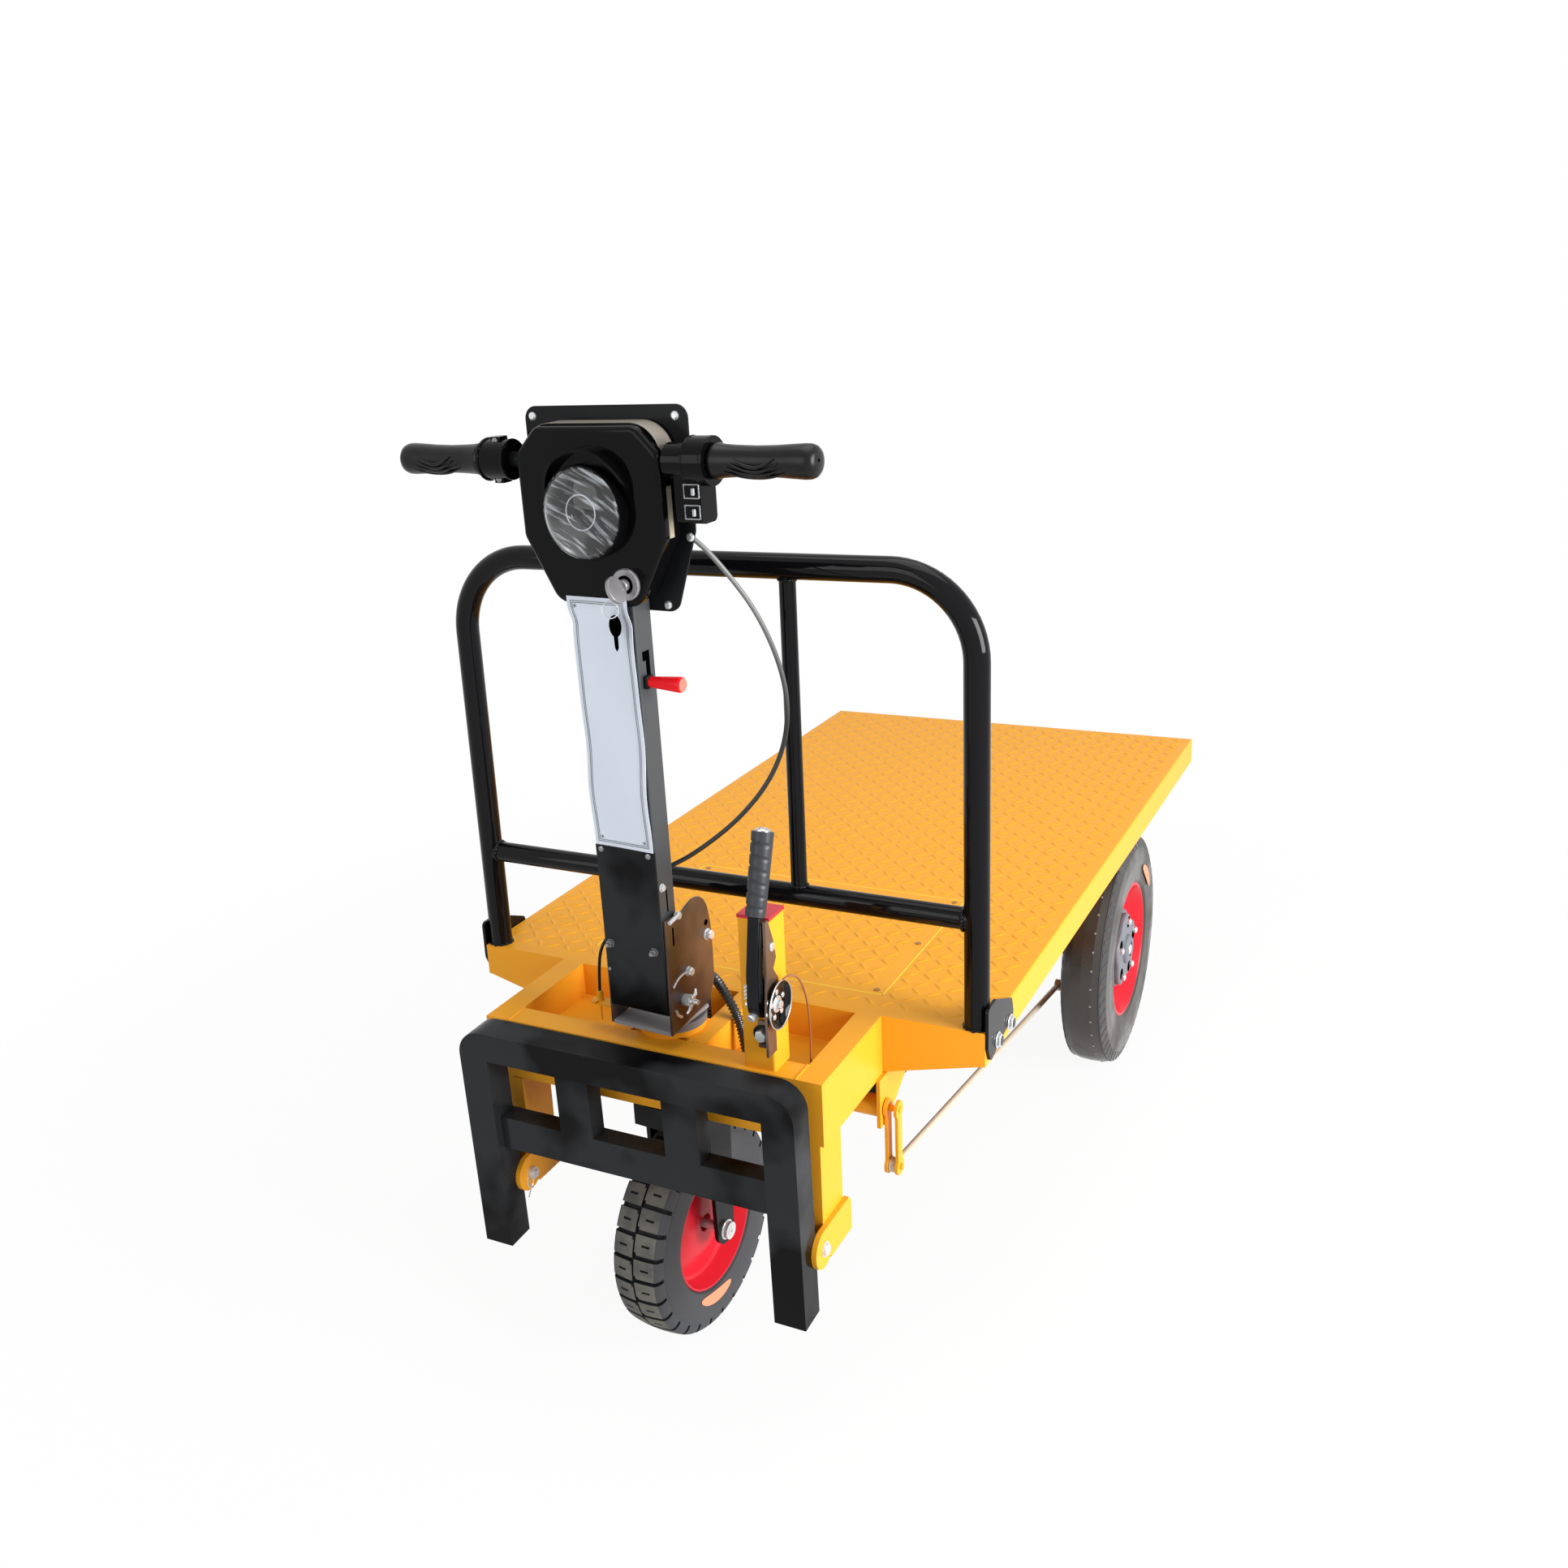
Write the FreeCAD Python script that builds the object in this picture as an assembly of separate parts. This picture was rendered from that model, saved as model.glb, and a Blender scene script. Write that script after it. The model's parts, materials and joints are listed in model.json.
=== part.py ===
import FreeCAD, Part
import math
import os

# Electric cargo tricycle: a flat tread-plate deck on two rear wheels, and a steered front wheel
# under a nose frame that carries the tiller column, a folding step and the hand brake.
# Millimetres. X is across, Y runs to the rear, Z is up. Lengths along Y are written from the
# deck's front edge, and write() moves them so that the origin lies under the vehicle's middle.

V = FreeCAD.Vector
UP = V(0, 0, 1)
ACROSS = V(1, 0, 0)
BACK = V(0, 1, 0)

# ---- driving dimensions -------------------------------------------------------------------
# deck
DECK_LENGTH = 1580.0
DECK_WIDTH = 900.0
DECK_HEIGHT = 541.0          # tread surface above the ground
DECK_SHEET = 4.0
SKIRT_HEIGHT = 55.0
HATCH_FRONT = 66.0           # hatch's front seam behind the deck's front edge
HATCH_LENGTH = 400.0
HATCH_WIDTH = 526.0
SEAM = 1.5                   # gap round the hatch

# frame rails and nose
RAIL_WIDTH = 40.0
RAIL_HEIGHT = 100.0
RAIL_WALL = 3.0
NOSE_HALF_WIDTH = 287.0
NOSE_LENGTH = 225.0
NOSE_BAR_DEPTH = 45.0
INNER_RAIL_WIDTH = 31.0
INNER_RAIL_OFFSET = 48.0     # inner face of an inner rail from the middle
FLOOR_DROP = 57.0            # nose floor's top below the deck surface
FLOOR_SHEET = 3.0
CROSS_DEPTH = 40.0
FASCIA_SHEET = 5.0

# step bracket and folding step
POST_DEPTH = 73.0
PIN_SETBACK = 239.5          # step pin ahead of the deck's front edge
PIN_DROP = 258.0             # step pin below the deck surface
PIN_RADIUS = 6.0
PIN_CLEARANCE = 0.05         # radial running fit of the step pins
EAR_SHEET = 8.0
EAR_RADIUS = 30.0
EAR_LENGTH = 100.0           # from the pin to the ear plate's rear end
EAR_DROP = 28.0              # ear plate's lower edge below the pin
STEP_HALF_WIDTH = 281.0
STEP_RISE = 21.0             # step's top above the deck surface
STEP_LEG_REACH = 103.0       # leg's end below the pin
STEP_LEG_WIDTH = 51.0
STEP_DEPTH = 48.0
KNUCKLE_REACH = 11.5         # pin centre behind the leg's rear face
KNUCKLE_RADIUS = 13.0
STEP_RAIL_HEIGHT = 47.0
STEP_CORNER_RADIUS = 42.0
STEP_BAR_DROP = 131.0        # cross bar's top below the deck surface
STEP_BAR_HEIGHT = 55.0
STEP_BAR_RECESS = 15.0
STEP_UPRIGHT_WIDTH = 57.0
STEP_UPRIGHT_SPACING = 182.0
STEP_LEAN = 2.0              # degrees forward when folded up
SIDE_GAP = 0.5               # step leg to ear plate

# guard rail
GUARD_SETBACK = 20.0         # tube centre plane behind the deck's front edge
GUARD_TUBE = 38.0
GUARD_INSET = 18.7           # hoop's centre line inside the deck's side
GUARD_HEIGHT = 679.4         # top tube's centre above the deck
GUARD_BEND = 125.0
GUARD_CROSS_HEIGHT = 171.6
GUARD_CROSS_TUBE = 34.0
GUARD_MIDDLE_TUBE = 25.0
GUARD_MIDDLE_OFFSET = 149.0
FOOT_SHEET = 5.0
FOOT_RISE = 40.0             # foot plate above the deck surface
FOOT_DROP = 50.0
FOOT_LENGTH = 118.0
FOOT_OVERHANG = 0.0

# wheels
REAR_RADIUS = 242.3
REAR_TYRE_WIDTH = 95.0
REAR_RIM_RADIUS = 141.5
REAR_AXLE_SETBACK = 1010.0
HUB_NOSE_RADIUS = 60.0
DRUM_RADIUS = 82.0
STUB_RADIUS = 16.0
RIM_SHEET = 4.0
AXLE_TUBE_RADIUS = 30.0
DIFFERENTIAL_OFFSET = 60.0
MOTOR_RADIUS = 62.0
MOTOR_LENGTH = 214.0
HOUSING_RADIUS = 85.0
HUB_INSET = 66.0             # brake plate's face inside the wheel's middle
BATTERY_DROP = 111.0         # battery box below the rails
REAR_OUTER = 446.0           # outer sidewall from the middle
FRONT_RADIUS = 176.3
FRONT_TYRE_WIDTH = 92.0
TYRE_BEAD = 0.84             # share of the tyre's width at the rim
FRONT_RIM_RADIUS = 105.3
TREAD_BLOCKS = 25
TREAD_DEPTH = 5.0
GROOVE_WIDTH = 6.0
TRAIL = 23.0                 # front axle behind the steering axis
AXLE_CLEARANCE = 0.05        # radial running fit of wheels on their axles

# steering
STEER_SETBACK = 138.0        # steering axis ahead of the deck's front edge
STEER_REST = -4.0            # degrees, the bar turned a little as parked
RING_RADIUS = 52.0
RING_HEIGHT = 9.0
DISC_RADIUS = 54.0
DISC_HEIGHT = 12.0
TURN_GAP = 0.3
STEM_RADIUS = 25.0
STEM_CLEARANCE = 0.05
CROWN_HALF_WIDTH = 67.0
CROWN_DEPTH = 62.0
CROWN_HEIGHT = 36.0
WHEEL_TO_CROWN = 9.0
BLADE_SHEET = 7.0
BLADE_WIDTH = 62.0
BLADE_END_RADIUS = 24.0
TYRE_TO_BLADE = 7.0
FRONT_AXLE_RADIUS = 8.0

# tiller base and column
PIVOT_SETBACK = 181.0        # tilt pivot ahead of the deck's front edge
PIVOT_RISE = 71.0            # tilt pivot above the deck surface
PIVOT_RADIUS = 6.0
COLUMN_LEAN = 1.4            # degrees forward when latched upright
COLUMN_WIDTH = 100.0
COLUMN_DEPTH = 40.0
COLUMN_WALL = 3.0
COLUMN_FRONT = 217.0         # column's front face ahead of the deck's front edge
COLUMN_RISE = 808.0          # column's top above the pivot
COLUMN_FOOT_DROP = 12.0      # column's foot below the pivot
QUADRANT_SHEET = 4.0
QUADRANT_FRONT = 37.0        # quadrant plate's reach from the pivot
QUADRANT_REAR = 86.0
QUADRANT_RISE = 142.0
QUADRANT_ROUND = 14.0
FLOOR_PLATE = 6.0            # tiller base's floor, on the boss
BOSS_RADIUS = 40.0
BOSS_HEIGHT = 4.5
LATCH_RISE = 473.0           # latch handle above the pivot
COVER_SHEET = 3.0
COVER_RISE = 246.0           # cover's top above the pivot
LABEL_WIDTH = 99.0
LABEL_RISE = 598.0
LABEL_SHEET = 1.0
ENTRY_CLEARANCE = 0.8        # hole in the column round the control cable

# head
SHELL_FRONT = 227.0
SHELL_DEPTH = 14.0
SHELL_HALF_WIDTH = 114.0
SHELL_CORNER_CUT = 34.0
SHELL_ROUND = 18.0           # corners of the shell's and the flange's outline
SHELL_FOOT_ROUND = 28.0
SHELL_WAIST_DROP = 36.0      # heights in the head are measured from the lamp's middle
SHELL_FOOT_HALF = 66.0
SHELL_RISE = 108.5
SHELL_DROP = 125.5
SHELL_EDGE = 7.0             # rounding of the shell's front edge
BODY_HALF_WIDTH = 109.0
BODY_RISE = 111.0
BODY_CORNER = 45.0
FLANGE_HALF_WIDTH = 130.0
FLANGE_RISE = 130.0
FLANGE_DROP = 140.0
FLANGE_SHEET = 3.0
FLANGE_WAIST_DROP = 31.0
FLANGE_FOOT_HALF = 94.0
LAMP_RISE = 724.0            # lamp's middle above the pivot
LAMP_RADIUS = 58.0
LAMP_PROUD = 12.0
LAMP_DOME = 12.0
HOOD_RADIUS = 71.0
HOOD_LIFT = 12.0             # hood's middle above the lamp's
HOOD_WALL = 5.0
HOOD_PROUD = 18.0
LOCK_RADIUS = 21.0
LOCK_OFFSET = 52.0
LOCK_DROP = 94.0

# handlebar
BAR_SETBACK = 203.0
BAR_RISE = 63.0              # bar above the lamp's middle
BAR_TUBE = 22.2
BAR_HALF_LENGTH = 328.0
GRIP_DIAMETER = 34.0
GRIP_LENGTH = 144.0
GRIP_CAP = 3.0               # grip's closed end past the bar
BAR_CLEARANCE = 0.3
COLLAR_RADIUS = 27.0
COLLAR_LENGTH = 44.0
THROTTLE_RADIUS = 23.0
THROTTLE_START = 117.0
THROTTLE_FLANGE = 31.0
FLANGE_START = 150.0
SWITCH_WIDTH = 39.0
SWITCH_DEPTH = 36.0
SWITCH_DROP = 77.0           # switch box's foot below the bar

# hand brake
BRAKE_POST_SIDE = 50.0
BRAKE_POST_INNER = 162.0     # post's inner face from the middle
BRAKE_POST_RISE = 232.0      # post's top above the deck surface
BRAKE_POST_SETBACK = 216.0
BRAKE_CAP = 5.0
CRANK_DROP = 52.0            # cross shaft below the rails
CRANK_SETBACK = 7.0
CRANK_REACH = 100.0
CROSS_SHAFT_RADIUS = 17.0
CRANK_PIN_RADIUS = 5.0
HANGER_SHEET = 6.0
HANGER_LENGTH = 160.0        # hanger's rear corner behind the deck's front edge
CRANK_EYE = 14.5
CRANK_WAIST = 9.0
ROD_RADIUS = 5.5
ROD_EYE = 12.0
BRAKE_ARM_AHEAD = 55.0       # arm's pin ahead of the rear axle
BRAKE_ARM_END = 160.0        # arm's pin above the ground
SECTOR_SHEET = 4.0
LEVER_WIDTH = 18.0
BRAKE_GRIP_LENGTH = 117.0
BRAKE_GRIP_FOOT = 15.5
BRAKE_GRIP_HEAD = 19.0
PULLEY_RADIUS = 38.0
PULLEY_DEPTH = 13.0
SEAT_GAP = 0.3

# cords: points that the straight runs would meet at, in order, heights from the deck surface
CORNER_SHARE = 0.45
BRAKE_WIRE_RADIUS = 1.5
BRAKE_WIRE_ROUTE = [(228, -211, 146.6), (229, -201, 148.4), (240, -187, 143), (248, -179, 109),
                    (246, -167, 49), (240, -158, -3), (239, -154, -57)]
CONDUIT_RADIUS = 8.0
CONDUIT_ROUTE = [(104, -97, -55.4), (97, -94, -8), (68, -84, 34), (34, -62, 52), (5, -38, 36),
                 (0, -30, -4), (0, -30, -57)]
CONTROL_CABLE_RADIUS = 5.0
CONTROL_CABLE_ROUTE = [(80, -190, 775), (111, -171, 747), (139, -144, 699), (165, -116, 643),
                       (182, -92, 577), (190, -80, 515), (184, -78, 451), (162, -89, 393),
                       (126, -110, 343), (82, -134, 303), (38, -158, 273), (0, -184, 259)]
LEFT_CABLE_RADIUS = 3.5
LEFT_CABLE_ROUTE = [(-94.7, -187.5, 61.3), (-93.5, -187, 98), (-88, -185, 132), (-72, -178, 158),
                    (-63, -173.9, 181.5)]
CLIP_DROP = 30.0             # underside of the clip below the quadrant's top
TAB_REACH = 52.0
TAB_RISE = 10.2              # cable stop's underside above the tiller base's floor

# ---- derived ------------------------------------------------------------------------------
RAIL_INNER = NOSE_HALF_WIDTH - RAIL_WIDTH
GUARD_HALF_SPAN = DECK_WIDTH / 2.0 - GUARD_INSET
PIN_HEIGHT = DECK_HEIGHT - PIN_DROP
STEP_TOP = DECK_HEIGHT + STEP_RISE
STEP_LEG_END = PIN_HEIGHT - STEP_LEG_REACH
STEP_BAR_TOP = DECK_HEIGHT - STEP_BAR_DROP
PIVOT_HEIGHT = DECK_HEIGHT + PIVOT_RISE
COLUMN_TOP = PIVOT_HEIGHT + COLUMN_RISE
COLUMN_FOOT = PIVOT_HEIGHT - COLUMN_FOOT_DROP
COVER_TOP = PIVOT_HEIGHT + COVER_RISE
LABEL_TOP = PIVOT_HEIGHT + LABEL_RISE
LAMP_HEIGHT = PIVOT_HEIGHT + LAMP_RISE
SHELL_TOP = LAMP_HEIGHT + SHELL_RISE
SHELL_BOTTOM = LAMP_HEIGHT - SHELL_DROP
SHELL_WAIST = LAMP_HEIGHT - SHELL_WAIST_DROP
BODY_TOP = LAMP_HEIGHT + BODY_RISE
FLANGE_TOP = LAMP_HEIGHT + FLANGE_RISE
FLANGE_BOTTOM = LAMP_HEIGHT - FLANGE_DROP
FLANGE_WAIST = LAMP_HEIGHT - FLANGE_WAIST_DROP
LOCK_HEIGHT = LAMP_HEIGHT - LOCK_DROP
BAR_HEIGHT = LAMP_HEIGHT + BAR_RISE
BRAKE_POST_TOP = DECK_HEIGHT + BRAKE_POST_RISE
RAIL_BOTTOM = DECK_HEIGHT - RAIL_HEIGHT
CRANK_HEIGHT = RAIL_BOTTOM - CRANK_DROP
SHEET_BOTTOM = DECK_HEIGHT - DECK_SHEET
STEP_INNER = STEP_HALF_WIDTH - STEP_LEG_WIDTH
STEP_BACK = -PIN_SETBACK - KNUCKLE_REACH
STEP_FRONT = STEP_BACK - STEP_DEPTH
LEAN = math.radians(STEP_LEAN)
FRONT_REACH = -(-PIN_SETBACK + (STEP_FRONT + PIN_SETBACK) * math.cos(LEAN)
                - (STEP_TOP - PIN_HEIGHT) * math.sin(LEAN))
ORIGIN_SHIFT = -(DECK_LENGTH - FRONT_REACH) / 2.0
STEER_Y = -STEER_SETBACK
RING_TOP = DECK_HEIGHT + RING_HEIGHT
DISC_BOTTOM = RING_TOP + TURN_GAP
DISC_TOP = DISC_BOTTOM + DISC_HEIGHT
BASE_BOTTOM = DISC_TOP + BOSS_HEIGHT
TAB_HEIGHT = BASE_BOTTOM + FLOOR_PLATE + TAB_RISE
QUADRANT_TOP = PIVOT_HEIGHT + QUADRANT_RISE
CLIP_HEIGHT = QUADRANT_TOP - CLIP_DROP
REAR_MIDDLE = REAR_OUTER - REAR_TYRE_WIDTH / 2.0
COLUMN_BACK = -COLUMN_FRONT + COLUMN_DEPTH
QUADRANT_INNER = COLUMN_WIDTH / 2.0 + 1.0
FRONT_AXLE_Y = STEER_Y + TRAIL


# ---- helpers ------------------------------------------------------------------------------
def box(x0, x1, y0, y1, z0, z1):
    return Part.makeBox(x1 - x0, y1 - y0, z1 - z0, V(x0, y0, z0))


def rod(radius, start, direction, length):
    return Part.makeCylinder(radius, length, start, direction)


def plate_x(points, x0, x1):
    """Flat plate across X from an outline of (y, z) points."""
    face = Part.Face(Part.makePolygon([V(x0, y, z) for y, z in points + points[:1]]))
    return face.extrude(V(x1 - x0, 0, 0))


def plate_y(points, y0, y1):
    """Flat plate across Y from an outline of (x, z) points."""
    face = Part.Face(Part.makePolygon([V(x, y0, z) for x, z in points + points[:1]]))
    return face.extrude(V(0, y1 - y0, 0))


def plate_z(points, z0, z1):
    """Flat plate across Z from an outline of (x, y) points."""
    face = Part.Face(Part.makePolygon([V(x, y, z0) for x, y in points + points[:1]]))
    return face.extrude(V(0, 0, z1 - z0))


def fillet(shape, radius, pick):
    """Round the straight edges that pick(middle, direction) chooses."""
    chosen = []
    for edge in shape.Edges:
        if isinstance(edge.Curve, Part.Line) and pick(edge.CenterOfMass, edge.tangentAt(edge.FirstParameter)):
            chosen.append(edge)
    return shape.makeFillet(radius, chosen)


def along(axis):
    """Picks the edges that run along one axis."""
    return lambda middle, direction: abs(direction.dot(axis)) > 0.999


def fuse(*shapes):
    return shapes[0].multiFuse(list(shapes[1:])).removeSplitter()


def mirror_x(shape):
    return shape.mirror(V(0, 0, 0), ACROSS)


def rounded_wire(points, radii):
    """Straight runs through the points, joined by tangent arcs of the given radii."""
    edges = []
    last = points[0]
    for i in range(1, len(points) - 1):
        corner = points[i]
        into = (corner - points[i - 1]).normalize()
        out = (points[i + 1] - corner).normalize()
        half = into.getAngle(out) / 2.0
        reach = radii[i - 1] * math.tan(half)
        a = corner - into * reach
        b = corner + out * reach
        toward = (out - into).normalize()
        middle = corner + toward * (radii[i - 1] / math.cos(half) - radii[i - 1])
        edges.append(Part.LineSegment(last, a).toShape())
        edges.append(Part.Arc(a, middle, b).toShape())
        last = b
    edges.append(Part.LineSegment(last, points[-1]).toShape())
    return Part.Wire(edges)


def bent_tube(points, radii, radius):
    """Round bar along straight runs and tangent arcs."""
    path = rounded_wire(points, radii)
    start = (points[1] - points[0]).normalize()
    section = Part.Wire([Part.makeCircle(radius, points[0], start)])
    return path.makePipeShell([section], True, True)


def revolve_x(profile, x=0.0, y=0.0, z=0.0):
    """Solid of revolution about X from an outline of (x, radius) points."""
    points = [V(px, 0, pr) for px, pr in profile]
    face = Part.Face(Part.makePolygon(points + points[:1]))
    solid = face.revolve(V(0, 0, 0), ACROSS, 360)
    solid.translate(V(x, y, z))
    return solid


def write(node, shape):
    """One STEP file per node, in the vehicle's own frame."""
    out = shape.copy()
    out.translate(V(0, ORIGIN_SHIFT, 0))
    out.exportStep("parts/" + node + ".step")
    return out


def steer(shape):
    """From straight ahead to the parked steering angle."""
    out = shape.copy()
    out.rotate(V(0, STEER_Y, 0), UP, STEER_REST)
    return out


def tilt(shape):
    """From exactly upright to the column's latched position, then steered."""
    out = shape.copy()
    out.rotate(V(0, -PIVOT_SETBACK, PIVOT_HEIGHT), ACROSS, COLUMN_LEAN)
    return steer(out)


# ---- deck and frame -----------------------------------------------------------------------
def deck_plate():
    half = DECK_WIDTH / 2.0
    top = box(-half, half, 0, DECK_LENGTH, SHEET_BOTTOM, DECK_HEIGHT)
    skirt_low = DECK_HEIGHT - SKIRT_HEIGHT
    sides = [box(s * half - (DECK_SHEET if s > 0 else 0), s * half + (0 if s > 0 else DECK_SHEET),
                 0, DECK_LENGTH, skirt_low, DECK_HEIGHT) for s in (-1, 1)]
    rear = box(-half, half, DECK_LENGTH - DECK_SHEET, DECK_LENGTH, skirt_low, DECK_HEIGHT)
    sheet = fuse(top, rear, *sides)
    sheet = fillet(sheet, DECK_SHEET - 1.0, lambda m, d: m.z > DECK_HEIGHT - 0.01 and m.y > 1)
    grow = SEAM
    opening = box(-HATCH_WIDTH / 2 - grow, HATCH_WIDTH / 2 + grow, HATCH_FRONT - grow,
                  HATCH_FRONT + HATCH_LENGTH + grow, SHEET_BOTTOM - 1, DECK_HEIGHT + 1)
    return sheet.cut(opening)


def deck_hatch():
    return box(-HATCH_WIDTH / 2, HATCH_WIDTH / 2, HATCH_FRONT, HATCH_FRONT + HATCH_LENGTH,
               SHEET_BOTTOM, DECK_HEIGHT)


def main_rails():
    """Two long hollow rails under the deck."""
    end = DECK_LENGTH - DECK_SHEET
    rail = box(RAIL_INNER, NOSE_HALF_WIDTH, FASCIA_SHEET, end, RAIL_BOTTOM, SHEET_BOTTOM)
    wall = RAIL_WALL
    rail = rail.cut(box(RAIL_INNER + wall, NOSE_HALF_WIDTH - wall, FASCIA_SHEET - 1, end + 1,
                        RAIL_BOTTOM + wall, SHEET_BOTTOM - wall))
    return Part.makeCompound([rail, mirror_x(rail)])


def cross_members():
    """Short beams between and outside the rails that carry the sheet and the hatch's edges."""
    end = DECK_LENGTH - DECK_SHEET
    places = [HATCH_FRONT - CROSS_DEPTH / 2, HATCH_FRONT + HATCH_LENGTH - CROSS_DEPTH / 2,
              REAR_AXLE_SETBACK - 200, REAR_AXLE_SETBACK + 200, end - CROSS_DEPTH]
    half = DECK_WIDTH / 2.0 - DECK_SHEET
    low = DECK_HEIGHT - SKIRT_HEIGHT
    beams = []
    for y in places:
        outer = box(NOSE_HALF_WIDTH, half, y, y + CROSS_DEPTH, low, SHEET_BOTTOM)
        beams += [box(-RAIL_INNER, RAIL_INNER, y, y + CROSS_DEPTH, low, SHEET_BOTTOM), outer, mirror_x(outer)]
    return Part.makeCompound(beams)


def fascia(side):
    """Deep at the nose rail and shallow at the deck's corner."""
    inner = NOSE_HALF_WIDTH
    outer = DECK_WIDTH / 2.0
    low = DECK_HEIGHT - SKIRT_HEIGHT
    points = [(inner, DECK_HEIGHT - DECK_SHEET - 0.0), (outer - DECK_SHEET, SHEET_BOTTOM),
              (outer - DECK_SHEET, low), (inner, RAIL_BOTTOM + 4)]
    plate = plate_y(points, 0, FASCIA_SHEET)
    return plate if side > 0 else mirror_x(plate)


def nose_frame():
    """Side rails, front bar and the two inner rails that carry the turntable's ring."""
    front = -NOSE_LENGTH
    rail = box(RAIL_INNER, NOSE_HALF_WIDTH, front, 0, RAIL_BOTTOM, DECK_HEIGHT)
    bar = box(-RAIL_INNER, RAIL_INNER, front, front + NOSE_BAR_DEPTH, RAIL_BOTTOM + 2, DECK_HEIGHT)
    inner = box(INNER_RAIL_OFFSET, INNER_RAIL_OFFSET + INNER_RAIL_WIDTH, front + NOSE_BAR_DEPTH, 0,
                DECK_HEIGHT - FLOOR_DROP, DECK_HEIGHT)
    back = box(-RAIL_INNER, RAIL_INNER, -FASCIA_SHEET, 0, RAIL_BOTTOM, DECK_HEIGHT - 0.3)
    frame = fuse(rail, mirror_x(rail), bar, inner, mirror_x(inner), back)
    bridge = box(-INNER_RAIL_OFFSET, INNER_RAIL_OFFSET, STEER_Y - 34, STEER_Y + 34,
                 DECK_HEIGHT - 12, DECK_HEIGHT)
    ring = rod(RING_RADIUS, V(0, STEER_Y, DECK_HEIGHT), UP, RING_HEIGHT)
    hole = rod(STEM_RADIUS + STEM_CLEARANCE, V(0, STEER_Y, 0), UP, RING_TOP + 1)
    return fuse(frame, bridge, ring).cut(hole)


def nose_floor():
    top = DECK_HEIGHT - FLOOR_DROP
    floor = box(-RAIL_INNER, RAIL_INNER, -NOSE_LENGTH + NOSE_BAR_DEPTH, -FASCIA_SHEET, top - FLOOR_SHEET, top)
    return floor.cut(rod(STEM_RADIUS + 6, V(0, STEER_Y, 0), UP, DECK_HEIGHT))


def step_bracket(side):
    """Down post with an ear plate on each face: the clevis that the step leg folds into."""
    post_low = PIN_HEIGHT - KNUCKLE_REACH + SEAT_GAP
    post = box(STEP_INNER, STEP_HALF_WIDTH, -NOSE_LENGTH, -NOSE_LENGTH + POST_DEPTH, post_low, RAIL_BOTTOM)
    pin_y = -PIN_SETBACK
    rear = pin_y + EAR_LENGTH
    top = PIN_HEIGHT + EAR_RADIUS
    low = PIN_HEIGHT - EAR_DROP
    ears = []
    for x0 in (STEP_HALF_WIDTH + 0.0, STEP_INNER - EAR_SHEET):
        outline = [(pin_y, top), (rear - 8, top), (rear, top - 10), (rear, low), (pin_y + 22, low)]
        blank = plate_x(outline, x0, x0 + EAR_SHEET)
        disc = rod(EAR_RADIUS, V(x0, pin_y, PIN_HEIGHT), ACROSS, EAR_SHEET)
        ear = blank.fuse(disc).removeSplitter()
        ears.append(ear.cut(rod(PIN_RADIUS, V(x0 - 1, pin_y, PIN_HEIGHT), ACROSS, EAR_SHEET + 2)))
    bracket = fuse(post, *ears)
    return bracket if side > 0 else mirror_x(bracket)


def step_pin(side):
    """Headed pin through both ears, with a nut and washer inboard."""
    x0 = STEP_INNER - EAR_SHEET - 12
    shank = rod(PIN_RADIUS, V(x0, -PIN_SETBACK, PIN_HEIGHT), ACROSS, STEP_HALF_WIDTH + EAR_SHEET - x0)
    head = rod(9.0, V(STEP_HALF_WIDTH + EAR_SHEET, -PIN_SETBACK, PIN_HEIGHT), ACROSS, 5.0)
    nut = rod(10.0, V(STEP_INNER - EAR_SHEET - 8, -PIN_SETBACK, PIN_HEIGHT), ACROSS, 8.0)
    pin = fuse(shank, head, nut)
    return pin if side > 0 else mirror_x(pin)


def step_frame():
    """Two legs, a top rail with round shoulders, a cross bar and two short uprights."""
    y0, y1 = STEP_FRONT, STEP_BACK
    gap = SIDE_GAP
    rail_low = STEP_TOP - STEP_RAIL_HEIGHT
    leg = box(STEP_INNER + gap, STEP_HALF_WIDTH - gap, y0, y1, STEP_LEG_END, rail_low)
    top = box(-STEP_HALF_WIDTH + gap, STEP_HALF_WIDTH - gap, y0, y1, rail_low, STEP_TOP)
    top = fillet(top, STEP_CORNER_RADIUS, lambda m, d: abs(d.y) > 0.99 and m.z > STEP_TOP - 1)
    bar = box(-STEP_INNER - gap, STEP_INNER + gap, y0 + STEP_BAR_RECESS, y1, STEP_BAR_TOP - STEP_BAR_HEIGHT,
              STEP_BAR_TOP)
    x = STEP_UPRIGHT_SPACING / 2
    upright = box(x - STEP_UPRIGHT_WIDTH / 2, x + STEP_UPRIGHT_WIDTH / 2, y0 + STEP_BAR_RECESS, y1,
                  STEP_BAR_TOP, rail_low)
    r = KNUCKLE_RADIUS
    lug = box(STEP_INNER + gap, STEP_HALF_WIDTH - gap, y1 - 1, -PIN_SETBACK, PIN_HEIGHT - r, PIN_HEIGHT + r)
    eye = rod(r, V(STEP_INNER + gap, -PIN_SETBACK, PIN_HEIGHT), ACROSS, STEP_LEG_WIDTH - 2 * gap)
    knuckle = fuse(lug, eye)
    frame = fuse(leg, mirror_x(leg), top, bar, upright, mirror_x(upright), knuckle, mirror_x(knuckle))
    for s in (-1, 1):
        x0 = STEP_INNER - 1 if s > 0 else -STEP_HALF_WIDTH - 1
        frame = frame.cut(rod(PIN_RADIUS + PIN_CLEARANCE, V(x0, -PIN_SETBACK, PIN_HEIGHT), ACROSS,
                              STEP_LEG_WIDTH + 2))
    frame.rotate(V(0, -PIN_SETBACK, PIN_HEIGHT), ACROSS, STEP_LEAN)
    return frame


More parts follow.
